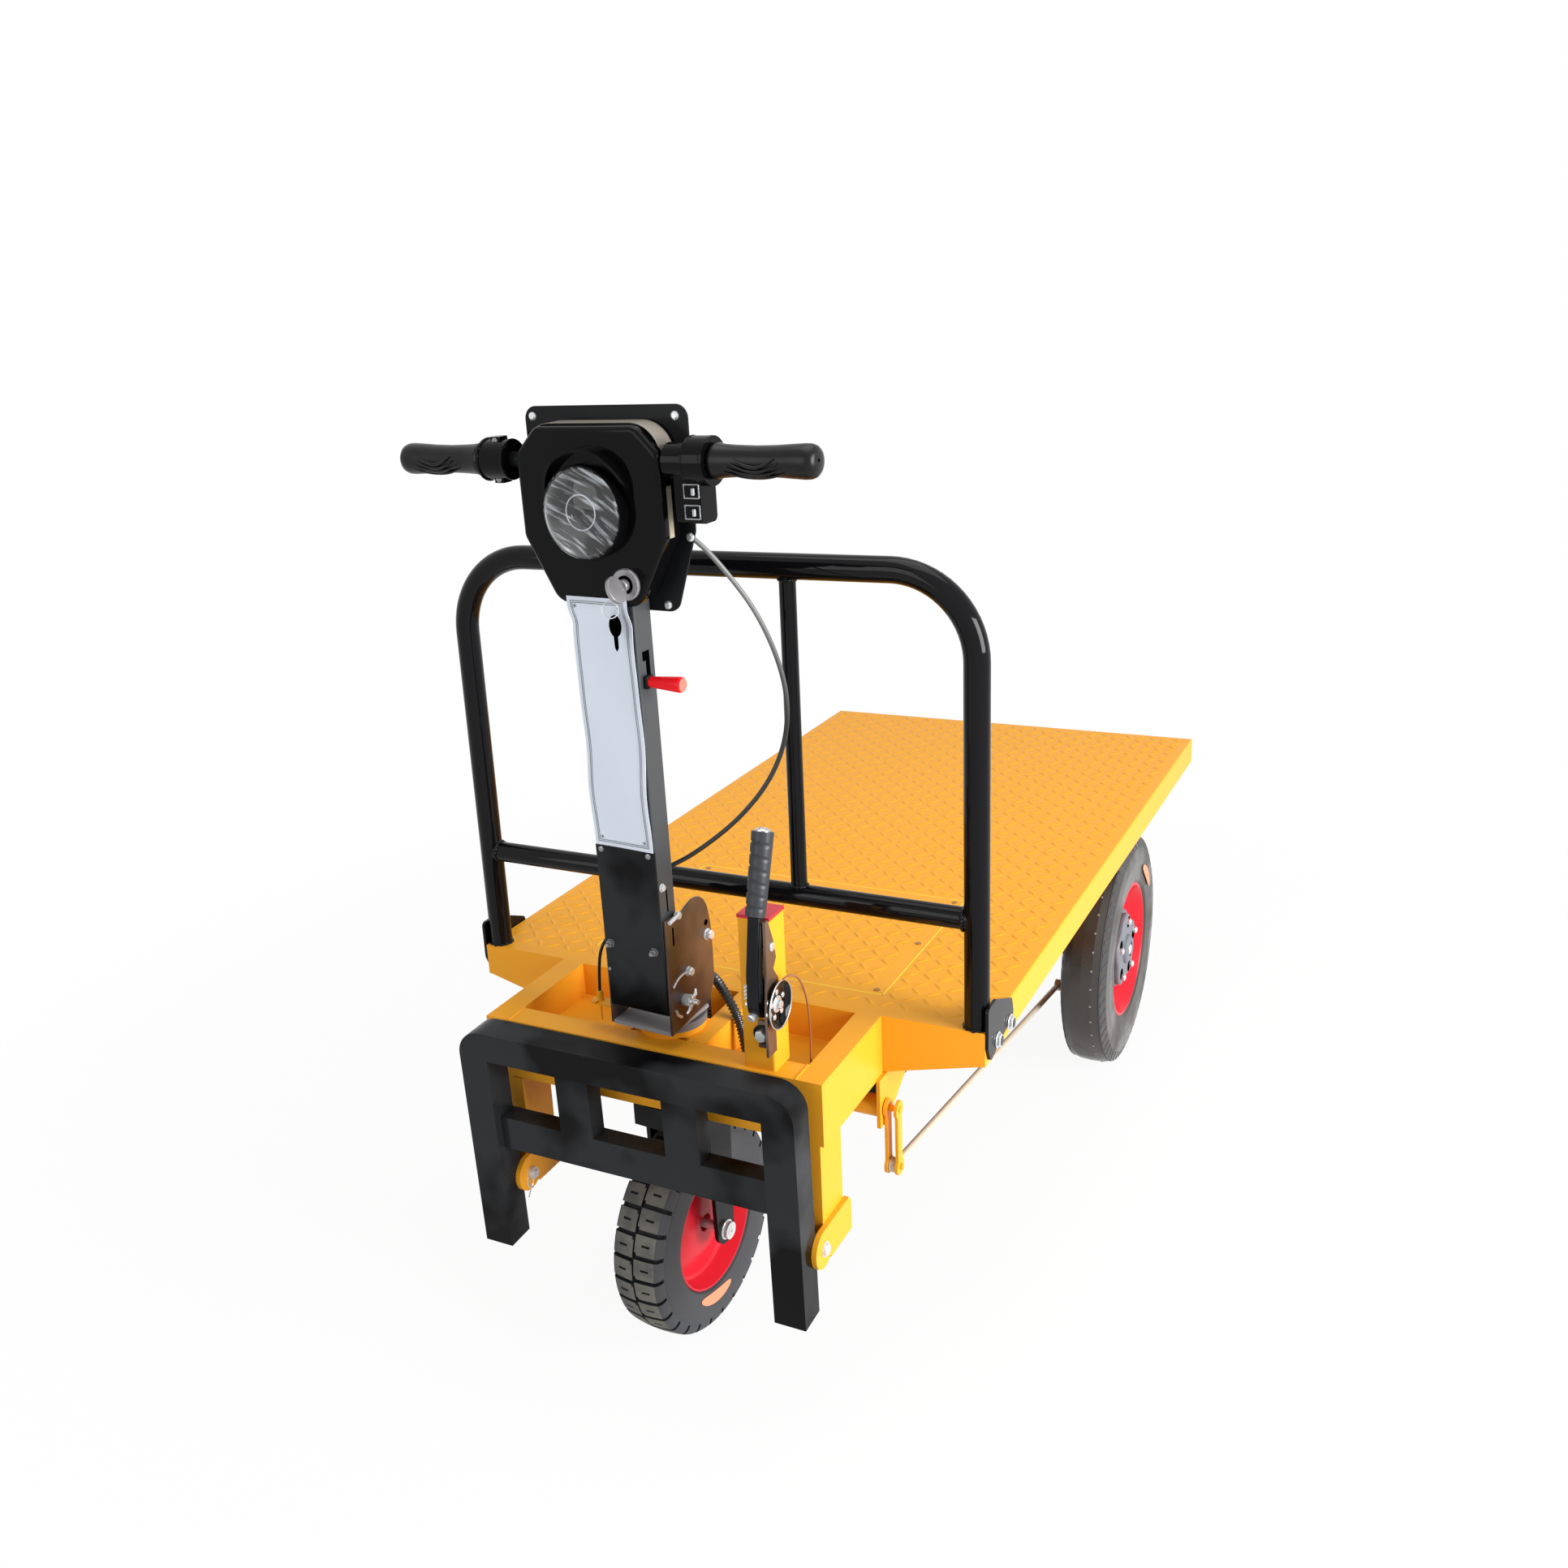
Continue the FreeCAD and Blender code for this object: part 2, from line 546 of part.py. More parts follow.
# ---- guard rail ---------------------------------------------------------------------------
def guard_hoop():
    y, top = GUARD_SETBACK, DECK_HEIGHT + GUARD_HEIGHT
    points = [V(-GUARD_HALF_SPAN, y, DECK_HEIGHT), V(-GUARD_HALF_SPAN, y, top),
              V(GUARD_HALF_SPAN, y, top), V(GUARD_HALF_SPAN, y, DECK_HEIGHT)]
    return bent_tube(points, [GUARD_BEND, GUARD_BEND], GUARD_TUBE / 2)


def guard_cross_tube():
    z = DECK_HEIGHT + GUARD_CROSS_HEIGHT
    whole = rod(GUARD_CROSS_TUBE / 2, V(-GUARD_HALF_SPAN, GUARD_SETBACK, z), ACROSS, 2 * GUARD_HALF_SPAN)
    return whole.cut(guard_hoop())


def guard_middle_post():
    z0 = DECK_HEIGHT + GUARD_CROSS_HEIGHT
    z1 = DECK_HEIGHT + GUARD_HEIGHT
    whole = rod(GUARD_MIDDLE_TUBE / 2, V(GUARD_MIDDLE_OFFSET, GUARD_SETBACK, z0), UP, z1 - z0)
    return whole.cut(guard_hoop()).cut(guard_cross_tube())


def guard_foot(side):
    """Plate welded to the hoop's foot and bolted to the deck's side."""
    x0 = DECK_WIDTH / 2.0 + SEAT_GAP
    x1 = x0 + FOOT_SHEET
    outline = [(-FOOT_OVERHANG, DECK_HEIGHT + FOOT_RISE), (FOOT_LENGTH / 3, DECK_HEIGHT + FOOT_RISE),
               (FOOT_LENGTH, DECK_HEIGHT + 6), (FOOT_LENGTH + 10, DECK_HEIGHT - FOOT_DROP / 2),
               (12, DECK_HEIGHT - FOOT_DROP), (-FOOT_OVERHANG, DECK_HEIGHT - FOOT_DROP / 2)]
    plate = plate_x(outline, x0, x1)
    plate = fillet(plate, 8.0, lambda m, d: abs(d.x) > 0.99)
    bolts = [rod(8.0, V(x1, y, DECK_HEIGHT - 30), ACROSS, 7) for y in (FOOT_LENGTH * 0.38, FOOT_LENGTH * 0.9)]
    foot = fuse(plate, *bolts).cut(guard_hoop())
    return foot if side > 0 else mirror_x(foot)


# ---- hand brake ---------------------------------------------------------------------------
def brake_post():
    x0 = BRAKE_POST_INNER
    y0 = -BRAKE_POST_SETBACK
    post = box(x0, x0 + BRAKE_POST_SIDE, y0, y0 + BRAKE_POST_SIDE, DECK_HEIGHT, BRAKE_POST_TOP)
    return fillet(post, 4.0, along(UP))


def brake_post_cap():
    x0 = BRAKE_POST_INNER
    y0 = -BRAKE_POST_SETBACK
    return box(x0, x0 + BRAKE_POST_SIDE, y0, y0 + BRAKE_POST_SIDE, BRAKE_POST_TOP, BRAKE_POST_TOP + BRAKE_CAP)


def brake_cross_shaft():
    """Shaft between the hangers, with the crank outside the right one."""
    half = NOSE_HALF_WIDTH
    shaft = rod(CROSS_SHAFT_RADIUS, V(-half, -CRANK_SETBACK, CRANK_HEIGHT), ACROSS, 2 * half)
    neck = rod(CRANK_PIN_RADIUS, V(half - 1, -CRANK_SETBACK, CRANK_HEIGHT), ACROSS, HANGER_SHEET + 3)
    return fuse(shaft, neck, brake_crank())


def brake_hanger(side):
    """Triangular plate under the deck's front corner that carries the cross shaft."""
    x0 = NOSE_HALF_WIDTH
    y = -CRANK_SETBACK
    outline = [(y - 20, RAIL_BOTTOM + 2), (y - 20, CRANK_HEIGHT - 28), (y + 12, CRANK_HEIGHT - 30),
               (HANGER_LENGTH, RAIL_BOTTOM + 10), (HANGER_LENGTH, RAIL_BOTTOM + 40), (6, RAIL_BOTTOM + 40),
               (6, RAIL_BOTTOM + 2)]
    plate = plate_x(outline, x0, x0 + HANGER_SHEET)
    plate = plate.cut(rod(CRANK_PIN_RADIUS, V(x0 - 1, y, CRANK_HEIGHT), ACROSS, HANGER_SHEET + 2))
    return plate if side > 0 else mirror_x(plate)


def brake_crank():
    """Two link plates with pins top and bottom."""
    y, z = -CRANK_SETBACK, CRANK_HEIGHT
    x0 = NOSE_HALF_WIDTH + HANGER_SHEET
    links = []
    for x in (x0 + 2, x0 + 19):
        bar = box(x, x + 5, y - CRANK_WAIST, y + CRANK_WAIST, z - CRANK_REACH, z)
        eyes = [rod(CRANK_EYE, V(x, y, h), ACROSS, 5) for h in (z, z - CRANK_REACH)]
        links.append(fuse(bar, *eyes))
    pins = [rod(CRANK_PIN_RADIUS, V(x0, y, z), ACROSS, 26),
            rod(CRANK_PIN_RADIUS, V(x0 + 1, y, z - CRANK_REACH), ACROSS, 27)]
    return fuse(*(links + pins))


def brake_rod():
    """Pull rod with an eye at each end, from the crank back to the arm on the rear brake."""
    x = NOSE_HALF_WIDTH + HANGER_SHEET + 13
    front = V(x, -CRANK_SETBACK, CRANK_HEIGHT - CRANK_REACH)
    rear = V(x, REAR_AXLE_SETBACK - BRAKE_ARM_AHEAD, BRAKE_ARM_END)
    run = (rear - front).normalize()
    bar = rod(ROD_RADIUS, front + run * 8, run, (rear - front).Length - 16)
    eyes = [rod(ROD_EYE, point - V(5, 0, 0), ACROSS, 10) for point in (front, rear)]
    body = fuse(bar, *eyes)
    for point in (front, rear):
        body = body.cut(rod(5.0, point - V(6, 0, 0), ACROSS, 12))
    return body


def brake_arm():
    """Lever on the right brake plate that the rod pulls."""
    x1 = REAR_MIDDLE - HUB_INSET
    x0 = x1 - 8
    y = REAR_AXLE_SETBACK - BRAKE_ARM_AHEAD
    arm = box(x0, x1, y - 11, y + 11, BRAKE_ARM_END, REAR_RADIUS - 40)
    end = rod(11, V(x0, y, BRAKE_ARM_END), ACROSS, 8)
    start = NOSE_HALF_WIDTH + HANGER_SHEET + 6
    pin = rod(5.0, V(start, y, BRAKE_ARM_END), ACROSS, x0 - start)
    return fuse(arm, end, pin)


# ---- hand lever on the brake post ---------------------------------------------------------
def post_front():
    return -BRAKE_POST_SETBACK


def brake_sector():
    """Side plate with a notched rear edge and a foot bolted to the post's front."""
    x0 = BRAKE_POST_INNER + BRAKE_POST_SIDE + SEAT_GAP
    y = post_front()
    t = BRAKE_POST_TOP
    outline = [(y - 27, t - 195), (y - 27, t - 133), (y - 22, t - 73), (y - 20, t + 8), (y - 12, t + 8),
               (y + 3, t - 28), (y + 9, t - 55), (y - 1, t - 69), (y + 13, t - 89), (y + 13, t - 133),
               (y - 1, t - 155), (y - 1, t - 195)]
    plate = plate_x(outline, x0, x0 + SECTOR_SHEET)
    foot = box(x0 - 22, x0, y - 6 - SEAT_GAP, y - SEAT_GAP, t - 193, t - 151)
    bolt = rod(8.0, V(x0 - 15, y - 6, t - 172), V(0, -1, 0), 6.0)
    rivet = rod(5.5, V(x0 + SECTOR_SHEET, y - 5, t - 34), ACROSS, 2.0)
    return fuse(plate, foot, bolt, rivet)


def brake_lever():
    """Flat-sided lever, pivoted low on the sector plate."""
    x1 = BRAKE_POST_INNER + BRAKE_POST_SIDE + SEAT_GAP
    y = post_front()
    t = BRAKE_POST_TOP
    outline = [(y - 36, t - 151), (y - 30, t - 167), (y - 16, t - 167), (y - 9, t - 151), (y - 15, t - 73),
               (y - 5, t + 16), (y - 20, t + 21), (y - 34, t - 68)]
    lever = plate_x(outline, x1 - LEVER_WIDTH - 5, x1 - 5)
    pivot = rod(6.0, V(x1 - 5, y - 23, t - 141), ACROSS, 5.0)
    return fuse(lever, pivot).cut(brake_grip())


def grip_axis():
    """The grip's lower and upper end, leaning back over the post."""
    x = BRAKE_POST_INNER + BRAKE_POST_SIDE + SEAT_GAP - 5 - LEVER_WIDTH / 2
    y = post_front()
    low = V(x, y - 13, BRAKE_POST_TOP + 12)
    return low, low + V(0, 0.3, 0.954) * BRAKE_GRIP_LENGTH


def brake_grip():
    low, high = grip_axis()
    run = (high - low).normalize()
    return Part.makeCone(BRAKE_GRIP_FOOT, BRAKE_GRIP_HEAD, (high - low).Length, low, run)


def brake_pulley():
    """Cupped cable wheel beside the sector plate."""
    x0 = BRAKE_POST_INNER + BRAKE_POST_SIDE + SEAT_GAP + SECTOR_SHEET
    r, d = PULLEY_RADIUS, PULLEY_DEPTH
    profile = [(0, 0), (0, r - 14), (d - 4, r - 1), (d - 3, r), (d - 1, r), (d, r - 1), (d, r - 4),
               (3, r - 17), (3, 10), (6, 9), (6, 0)]
    return revolve_x(profile, x0, post_front() + 10, BRAKE_POST_TOP - 125)


# ---- cords held at both ends ----------------------------------------------------------------
def cord(points, radii, radius, name):
    """Round cord along straight runs and tangent arcs, checked for kinks."""
    tube = bent_tube(points, radii, radius)
    print(name, "radii", [round(r, 1) for r in radii], "volume", round(tube.Volume),
          "against", round(math.pi * radius * radius * rounded_wire(points, radii).Length))
    return tube


def from_deck(route):
    """Route points with their heights taken from the deck surface."""
    return [V(x, y, DECK_HEIGHT + z) for x, y, z in route]


def bend_radii(points):
    """An arc at each corner that takes 0.45 of the shorter run beside it."""
    radii = []
    for a, b, c in zip(points, points[1:], points[2:]):
        half = (b - a).getAngle(c - b) / 2.0
        radii.append(CORNER_SHARE * min((b - a).Length, (c - b).Length) / math.tan(half))
    return radii


def brake_wire():
    points = from_deck(BRAKE_WIRE_ROUTE)
    return cord(points, bend_radii(points), BRAKE_WIRE_RADIUS, "brake_wire")


def conduit():
    points = from_deck(CONDUIT_ROUTE)
    return cord(points, bend_radii(points), CONDUIT_RADIUS, "conduit")


def control_cable():
    points = from_deck(CONTROL_CABLE_ROUTE)
    return cord(points, bend_radii(points), CONTROL_CABLE_RADIUS, "control_cable")


def left_cable():
    points = from_deck(LEFT_CABLE_ROUTE)
    return cord(points, bend_radii(points), LEFT_CABLE_RADIUS, "left_cable")


def cable_tab():
    """Slotted stop on the tiller base's left side, with the cable's ferrule standing on it."""
    x1 = -QUADRANT_INNER - QUADRANT_SHEET
    y = STEER_Y - 56
    tab = box(x1 - TAB_REACH, x1, y - 11, y + 11, TAB_HEIGHT, TAB_HEIGHT + 3)
    tab = fillet(tab, 10.0, lambda m, d: abs(d.z) > 0.99 and m.x < x1 - 20)
    foot = box(x1 - 3, x1, y - 11, y + 11, TAB_HEIGHT - 16, TAB_HEIGHT + 3)
    slot = box(x1 - TAB_REACH + 14, x1 - TAB_REACH + 18, y - 12, y + 2, TAB_HEIGHT - 1, TAB_HEIGHT + 4)
    ferrule = rod(5.0, V(x1 - TAB_REACH + 16, y, TAB_HEIGHT + 3), UP, 16.0)
    wire = rod(1.2, V(x1 - TAB_REACH + 16, y, RING_TOP + 2), UP, TAB_HEIGHT - RING_TOP + 1)
    return steer(fuse(tab.cut(slot), foot, ferrule, wire))


# ---- rear axle ----------------------------------------------------------------------------
def axle_housing():
    """Axle tube with the round differential case."""
    half = REAR_MIDDLE - HUB_INSET
    r = AXLE_TUBE_RADIUS
    c = DIFFERENTIAL_OFFSET
    profile = [(-half, 0), (-half, r), (c - 80, r), (c - 66, 52), (c - 40, 76), (c - 14, HOUSING_RADIUS),
               (c + 14, HOUSING_RADIUS), (c + 40, 76), (c + 66, 52), (c + 80, r), (half, r), (half, 0)]
    return revolve_x(profile, 0, REAR_AXLE_SETBACK, REAR_RADIUS)


def rear_axle():
    """Housing with the drive motor bolted ahead of the differential."""
    start = V(DIFFERENTIAL_OFFSET, REAR_AXLE_SETBACK - 60, REAR_RADIUS)
    motor = rod(MOTOR_RADIUS, start, V(0, -1, 0), MOTOR_LENGTH)
    return fuse(axle_housing(), motor)


def axle_stand(side):
    x = (RAIL_INNER + NOSE_HALF_WIDTH) / 2
    y, z = REAR_AXLE_SETBACK, REAR_RADIUS
    stand = box(x - 18, x + 18, y - 45, y + 45, z, RAIL_BOTTOM)
    stand = stand.cut(rod(AXLE_TUBE_RADIUS, V(x - 30, y, z), ACROSS, 60))
    return stand if side > 0 else mirror_x(stand)


def brake_plate(side):
    x = REAR_MIDDLE - HUB_INSET
    y, z = REAR_AXLE_SETBACK, REAR_RADIUS
    plate = rod(88, V(x, y, z), ACROSS, 8)
    stub = rod(STUB_RADIUS, V(x + 8, y, z), ACROSS, HUB_INSET + 26)
    plate = fuse(plate, stub)
    return fuse(plate, brake_arm()) if side > 0 else mirror_x(plate)


def battery_box():
    front = HATCH_FRONT + CROSS_DEPTH / 2 + 2
    rear = HATCH_FRONT + HATCH_LENGTH - CROSS_DEPTH / 2 - 2
    low = RAIL_BOTTOM - BATTERY_DROP
    return box(-RAIL_INNER, RAIL_INNER, front, rear, low, DECK_HEIGHT - SKIRT_HEIGHT + 20)


# ---- wheels -------------------------------------------------------------------------------
def tyre(radius, width, rim):
    half = width / 2
    bead = half * TYRE_BEAD
    profile = [(-bead, rim), (-half * 0.93, rim + 6), (-half * 0.99, rim + (radius - rim) * 0.45),
               (-half * 0.96, rim + (radius - rim) * 0.72), (-half * 0.80, radius - 6),
               (-half * 0.45, radius - 1), (0, radius), (half * 0.45, radius - 1), (half * 0.80, radius - 6),
               (half * 0.96, rim + (radius - rim) * 0.72), (half * 0.99, rim + (radius - rim) * 0.45),
               (half * 0.93, rim + 6), (bead, rim)]
    return profile


def rear_tyre(side):
    return revolve_x(tyre(REAR_RADIUS, REAR_TYRE_WIDTH, REAR_RIM_RADIUS), side * REAR_MIDDLE,
                     REAR_AXLE_SETBACK, REAR_RADIUS)


def rear_rim(side):
    """Dished pressed rim, open to the outside."""
    w = REAR_TYRE_WIDTH * TYRE_BEAD / 2
    r = REAR_RIM_RADIUS
    t = RIM_SHEET
    hole = HUB_NOSE_RADIUS + SEAT_GAP
    profile = [(-w, r), (w, r), (w, r - t), (w - 16, r - 22), (w - 34, hole + 22), (w - 34, hole),
               (w - 34 - t, hole), (w - 34 - t, hole + 20), (w - 20 - t, r - 24), (-w, r - t)]
    rim = revolve_x(profile, REAR_MIDDLE, REAR_AXLE_SETBACK, REAR_RADIUS)
    return rim if side > 0 else mirror_x(rim)


def rear_hub(side):
    """Brake drum and hub nose with five bolt lobes, turning on the stub axle."""
    w = REAR_TYRE_WIDTH * TYRE_BEAD / 2
    x = w - 34 - RIM_SHEET - SEAT_GAP
    n = HUB_NOSE_RADIUS
    bore = STUB_RADIUS + AXLE_CLEARANCE
    profile = [(-54, bore), (-54, DRUM_RADIUS), (x, DRUM_RADIUS), (x, n), (x + 18, n - 3), (x + 26, n - 14),
               (x + 26, n - 26), (x + 40, n - 30), (x + 44, n - 36), (x + 44, bore)]
    hub = revolve_x(profile, REAR_MIDDLE, REAR_AXLE_SETBACK, REAR_RADIUS)
    return hub if side > 0 else mirror_x(hub)


def front_tyre():
    """Tyre with a groove round its middle and grooves across the tread."""
    ring = revolve_x(tyre(FRONT_RADIUS, FRONT_TYRE_WIDTH, FRONT_RIM_RADIUS), 0, 0, 0)
    half = FRONT_TYRE_WIDTH / 2
    low = FRONT_RADIUS - TREAD_DEPTH
    top = FRONT_RADIUS + 1
    groove = revolve_x([(-2, low), (2, low), (2, top), (-2, top)])
    cutters = [groove]
    for i in range(TREAD_BLOCKS):
        for side in (-1, 1):
            cutter = box(6, half + 1, -GROOVE_WIDTH / 2, GROOVE_WIDTH / 2, low - 4, top)
            cutter = cutter if side > 0 else mirror_x(cutter)
            cutter.rotate(V(0, 0, 0), ACROSS, (i + (0.5 if side > 0 else 0.35)) * 360.0 / TREAD_BLOCKS)
            cutters.append(cutter)
    ring = ring.cut(Part.makeCompound(cutters))
    ring.translate(V(0, FRONT_AXLE_Y, FRONT_RADIUS))
    return steer(ring)


def front_rim():
    w = FRONT_TYRE_WIDTH * TYRE_BEAD / 2
    r = FRONT_RIM_RADIUS
    bore = FRONT_AXLE_RADIUS + AXLE_CLEARANCE
    hub = FRONT_TYRE_WIDTH / 2 + TYRE_TO_BLADE - 3
    profile = [(-w, r), (w, r), (w, r - 5), (w - 30, 46), (w - 30, 26), (hub, 24), (hub, bore),
               (-hub, bore), (-hub, 24), (-w + 30, 26), (-w + 30, 46), (-w, r - 5)]
    return steer(revolve_x(profile, 0, FRONT_AXLE_Y, FRONT_RADIUS))


# ---- steering: what turns with the front wheel --------------------------------------------
def crown_bottom():
    return 2 * FRONT_RADIUS + WHEEL_TO_CROWN


def fork_crown():
    """Crown box with the stem that turns in the ring."""
    z = crown_bottom()
    y0 = STEER_Y - CROWN_DEPTH / 2 + 4
    crown = box(-CROWN_HALF_WIDTH, CROWN_HALF_WIDTH, y0, y0 + CROWN_DEPTH, z, z + CROWN_HEIGHT)
    stem = rod(STEM_RADIUS, V(0, STEER_Y, z), UP, DISC_BOTTOM - z)
    return steer(fuse(crown, stem))


def fork_blade(side):
    x0 = FRONT_TYRE_WIDTH / 2 + TYRE_TO_BLADE
    y = FRONT_AXLE_Y
    z = FRONT_RADIUS
    top = crown_bottom()
    half = BLADE_WIDTH / 2
    outline = [(y - half, top), (y - BLADE_END_RADIUS, z), (y + BLADE_END_RADIUS, z), (y + half, top)]
    end = rod(BLADE_END_RADIUS, V(x0, y, z), ACROSS, BLADE_SHEET)
    blade = fuse(plate_x(outline, x0, x0 + BLADE_SHEET), end)
    blade = blade.cut(rod(FRONT_AXLE_RADIUS, V(x0 - 1, y, z), ACROSS, BLADE_SHEET + 2))
    return steer(blade if side > 0 else mirror_x(blade))


def front_axle():
    half = FRONT_TYRE_WIDTH / 2 + TYRE_TO_BLADE + BLADE_SHEET
    y, z = FRONT_AXLE_Y, FRONT_RADIUS
    pin = rod(FRONT_AXLE_RADIUS, V(-half - 10, y, z), ACROSS, 2 * half + 20)
    nuts = [rod(14, V(x, y, z), ACROSS, 9) for x in (half, -half - 9)]
    return steer(fuse(pin, *nuts))


def turntable_disc():
    """Disc that turns on the ring, with the boss under the tiller base."""
    disc = rod(DISC_RADIUS, V(0, STEER_Y, DISC_BOTTOM), UP, DISC_HEIGHT)
    return steer(fuse(disc, rod(BOSS_RADIUS, V(0, STEER_Y, DISC_TOP), UP, BOSS_HEIGHT)))


def tiller_base():
    """Floor plate on the boss and two quadrant plates with round rear lobes, open at the front and top."""
    q = QUADRANT_INNER
    low = BASE_BOTTOM
    top = QUADRANT_TOP
    front = -PIVOT_SETBACK - QUADRANT_FRONT
    rear = -PIVOT_SETBACK + QUADRANT_REAR
    outline = [(front, low), (front, top - 2), (front + 29, top - 2), (rear - 46, top + 3),
               (rear - 22, top - 3), (rear - 2, top - 40), (rear + 1, low + 62), (rear - 2, low + 29),
               (rear - 9, low + 10), (rear - 12, low)]
    plate = plate_x(outline, q, q + QUADRANT_SHEET)
    plate = fillet(plate, QUADRANT_ROUND, lambda m, d: abs(d.x) > 0.99 and m.z > top - 60 and m.y > rear - 60)
    plate = plate.cut(rod(PIVOT_RADIUS, V(q - 1, -PIVOT_SETBACK, PIVOT_HEIGHT), ACROSS, QUADRANT_SHEET + 2))
    floor = box(-q - 1, q + 1, front + 1, rear - 13, low, low + FLOOR_PLATE)
    y = -PIVOT_SETBACK + 3
    clip = box(-q - 14, -q - QUADRANT_SHEET, y - 6, y + 6, CLIP_HEIGHT, CLIP_HEIGHT + 12)
    return steer(fuse(plate, mirror_x(plate), floor, clip))


# ---- column: what tilts -------------------------------------------------------------------
def column_tube():
    """Hollow rectangular tube with holes for the pivot pin, the bar and the control cable."""
    half = COLUMN_WIDTH / 2
    front, back = -COLUMN_FRONT, COLUMN_BACK
    wall = COLUMN_WALL
    tube = box(-half, half, front, back, COLUMN_FOOT, COLUMN_TOP)
    tube = fillet(tube, wall, along(UP))
    inside = half - wall
    tube = tube.cut(box(-inside, inside, front + wall, back - wall, COLUMN_FOOT - 1, COLUMN_TOP + 1))
    tube = tube.cut(rod(PIVOT_RADIUS + PIN_CLEARANCE, V(-half - 1, -PIVOT_SETBACK, PIVOT_HEIGHT), ACROSS,
                        COLUMN_WIDTH + 2))
    tube = tube.cut(rod(BAR_TUBE / 2, V(-half - 1, -BAR_SETBACK, BAR_HEIGHT), ACROSS, COLUMN_WIDTH + 2))
    a, b = from_deck(CONTROL_CABLE_ROUTE[-2:])
    run = (b - a).normalize()
    entry = rod(CONTROL_CABLE_RADIUS + ENTRY_CLEARANCE, a, run, (b - a).Length + 4)
    return tilt(tube).cut(entry)


def tilt_pin():
    half = QUADRANT_INNER + QUADRANT_SHEET
    pin = rod(PIVOT_RADIUS, V(-half - 7, -PIVOT_SETBACK, PIVOT_HEIGHT), ACROSS, 2 * half + 14)
    heads = [rod(9, V(x, -PIVOT_SETBACK, PIVOT_HEIGHT), ACROSS, 6) for x in (half, -half - 6)]
    return steer(fuse(pin, *heads))


def column_cover():
    half = COLUMN_WIDTH / 2 + 0.5
    return tilt(box(-half, half, -COLUMN_FRONT - COVER_SHEET, -COLUMN_FRONT, COLUMN_FOOT + 2, COVER_TOP))


def column_label():
    half = LABEL_WIDTH / 2
    return tilt(box(-half, half, -COLUMN_FRONT - LABEL_SHEET, -COLUMN_FRONT, COVER_TOP + 0.3, LABEL_TOP - 8))


def latch_handle():
    x0 = COLUMN_WIDTH / 2
    y, z = -COLUMN_FRONT + 16, PIVOT_HEIGHT + LATCH_RISE
    shank = rod(5, V(x0, y, z), ACROSS, 8)
    grip = rod(11, V(x0 + 8, y, z), ACROSS, 54)
    return tilt(fuse(shank, grip))


def revolve_y(profile, x, y, z):
    """Solid of revolution about Y from an outline of (y, radius) points."""
    points = [V(0, py, pr) for py, pr in profile]
    solid = Part.Face(Part.makePolygon(points + points[:1])).revolve(V(0, 0, 0), BACK, 360)
    solid.translate(V(x, y, z))
    return solid


def shield(half, top, bottom, waist, foot, y0, y1):
    """Plate across Y with straight sides down to the waist and a taper to the foot."""
    outline = [(-half, top), (half, top), (half, waist), (foot, bottom), (-foot, bottom), (-half, waist)]
    return plate_y(outline, y0, y1)


def across_y(test):
    """Picks the corner edges of a plate across Y, by height."""
    return lambda middle, direction: abs(direction.y) > 0.99 and test(middle.z)


def head_shell():
    """Front shell with cut upper corners and a rounded front edge, and the hood over the lamp."""
    front = -SHELL_FRONT
    half, top, cut = SHELL_HALF_WIDTH, SHELL_TOP, SHELL_CORNER_CUT
    outline = [(-half + cut, top), (half - cut, top), (half, top - cut), (half, SHELL_WAIST),
               (SHELL_FOOT_HALF, SHELL_BOTTOM), (-SHELL_FOOT_HALF, SHELL_BOTTOM), (-half, SHELL_WAIST),
               (-half, top - cut)]
    shell = plate_y(outline, front, front + SHELL_DEPTH)
    shell = fillet(shell, SHELL_ROUND, across_y(lambda z: z > SHELL_BOTTOM + 1))
    shell = fillet(shell, SHELL_FOOT_ROUND, across_y(lambda z: z < SHELL_BOTTOM + 1))
    rim = [e for e in shell.Edges if abs(e.CenterOfMass.y - front) < 0.01]
    shell = shell.makeFillet(SHELL_EDGE, rim)
    return tilt(fuse(shell.cut(column_room()), lamp_hood()))


def column_room():
    """The space that the column's top and the bar take inside the head."""
    half = COLUMN_WIDTH / 2 + 0.3
    slot = box(-half, half, -COLUMN_FRONT - 0.3, COLUMN_BACK + 0.3, SHELL_BOTTOM - 30, COLUMN_TOP + 0.3)
    bar = rod(BAR_TUBE / 2 + BAR_CLEARANCE, V(-200, -BAR_SETBACK, BAR_HEIGHT), ACROSS, 400)
    return slot.fuse(bar)


def head_body():
    """Box behind the shell, closed round the column, with a groove down each side."""
    front, back = -SHELL_FRONT + SHELL_DEPTH, COLUMN_BACK + 0.3
    body = shield(BODY_HALF_WIDTH, BODY_TOP, SHELL_BOTTOM + 4, SHELL_WAIST, SHELL_FOOT_HALF - 4, front, back)
    body = fillet(body, BODY_CORNER, across_y(lambda z: z > BODY_TOP - 1))
    body = fillet(body, SHELL_ROUND, across_y(lambda z: z < SHELL_WAIST + 1))
    return tilt(body.cut(column_room()))


def head_flange():
    """Flat plate behind the head that the box is screwed to."""
    y = COLUMN_BACK + 0.3
    plate = shield(FLANGE_HALF_WIDTH, FLANGE_TOP, FLANGE_BOTTOM, FLANGE_WAIST, FLANGE_FOOT_HALF,
                   y, y + FLANGE_SHEET)
    return tilt(fillet(plate, SHELL_ROUND, across_y(lambda z: True)))


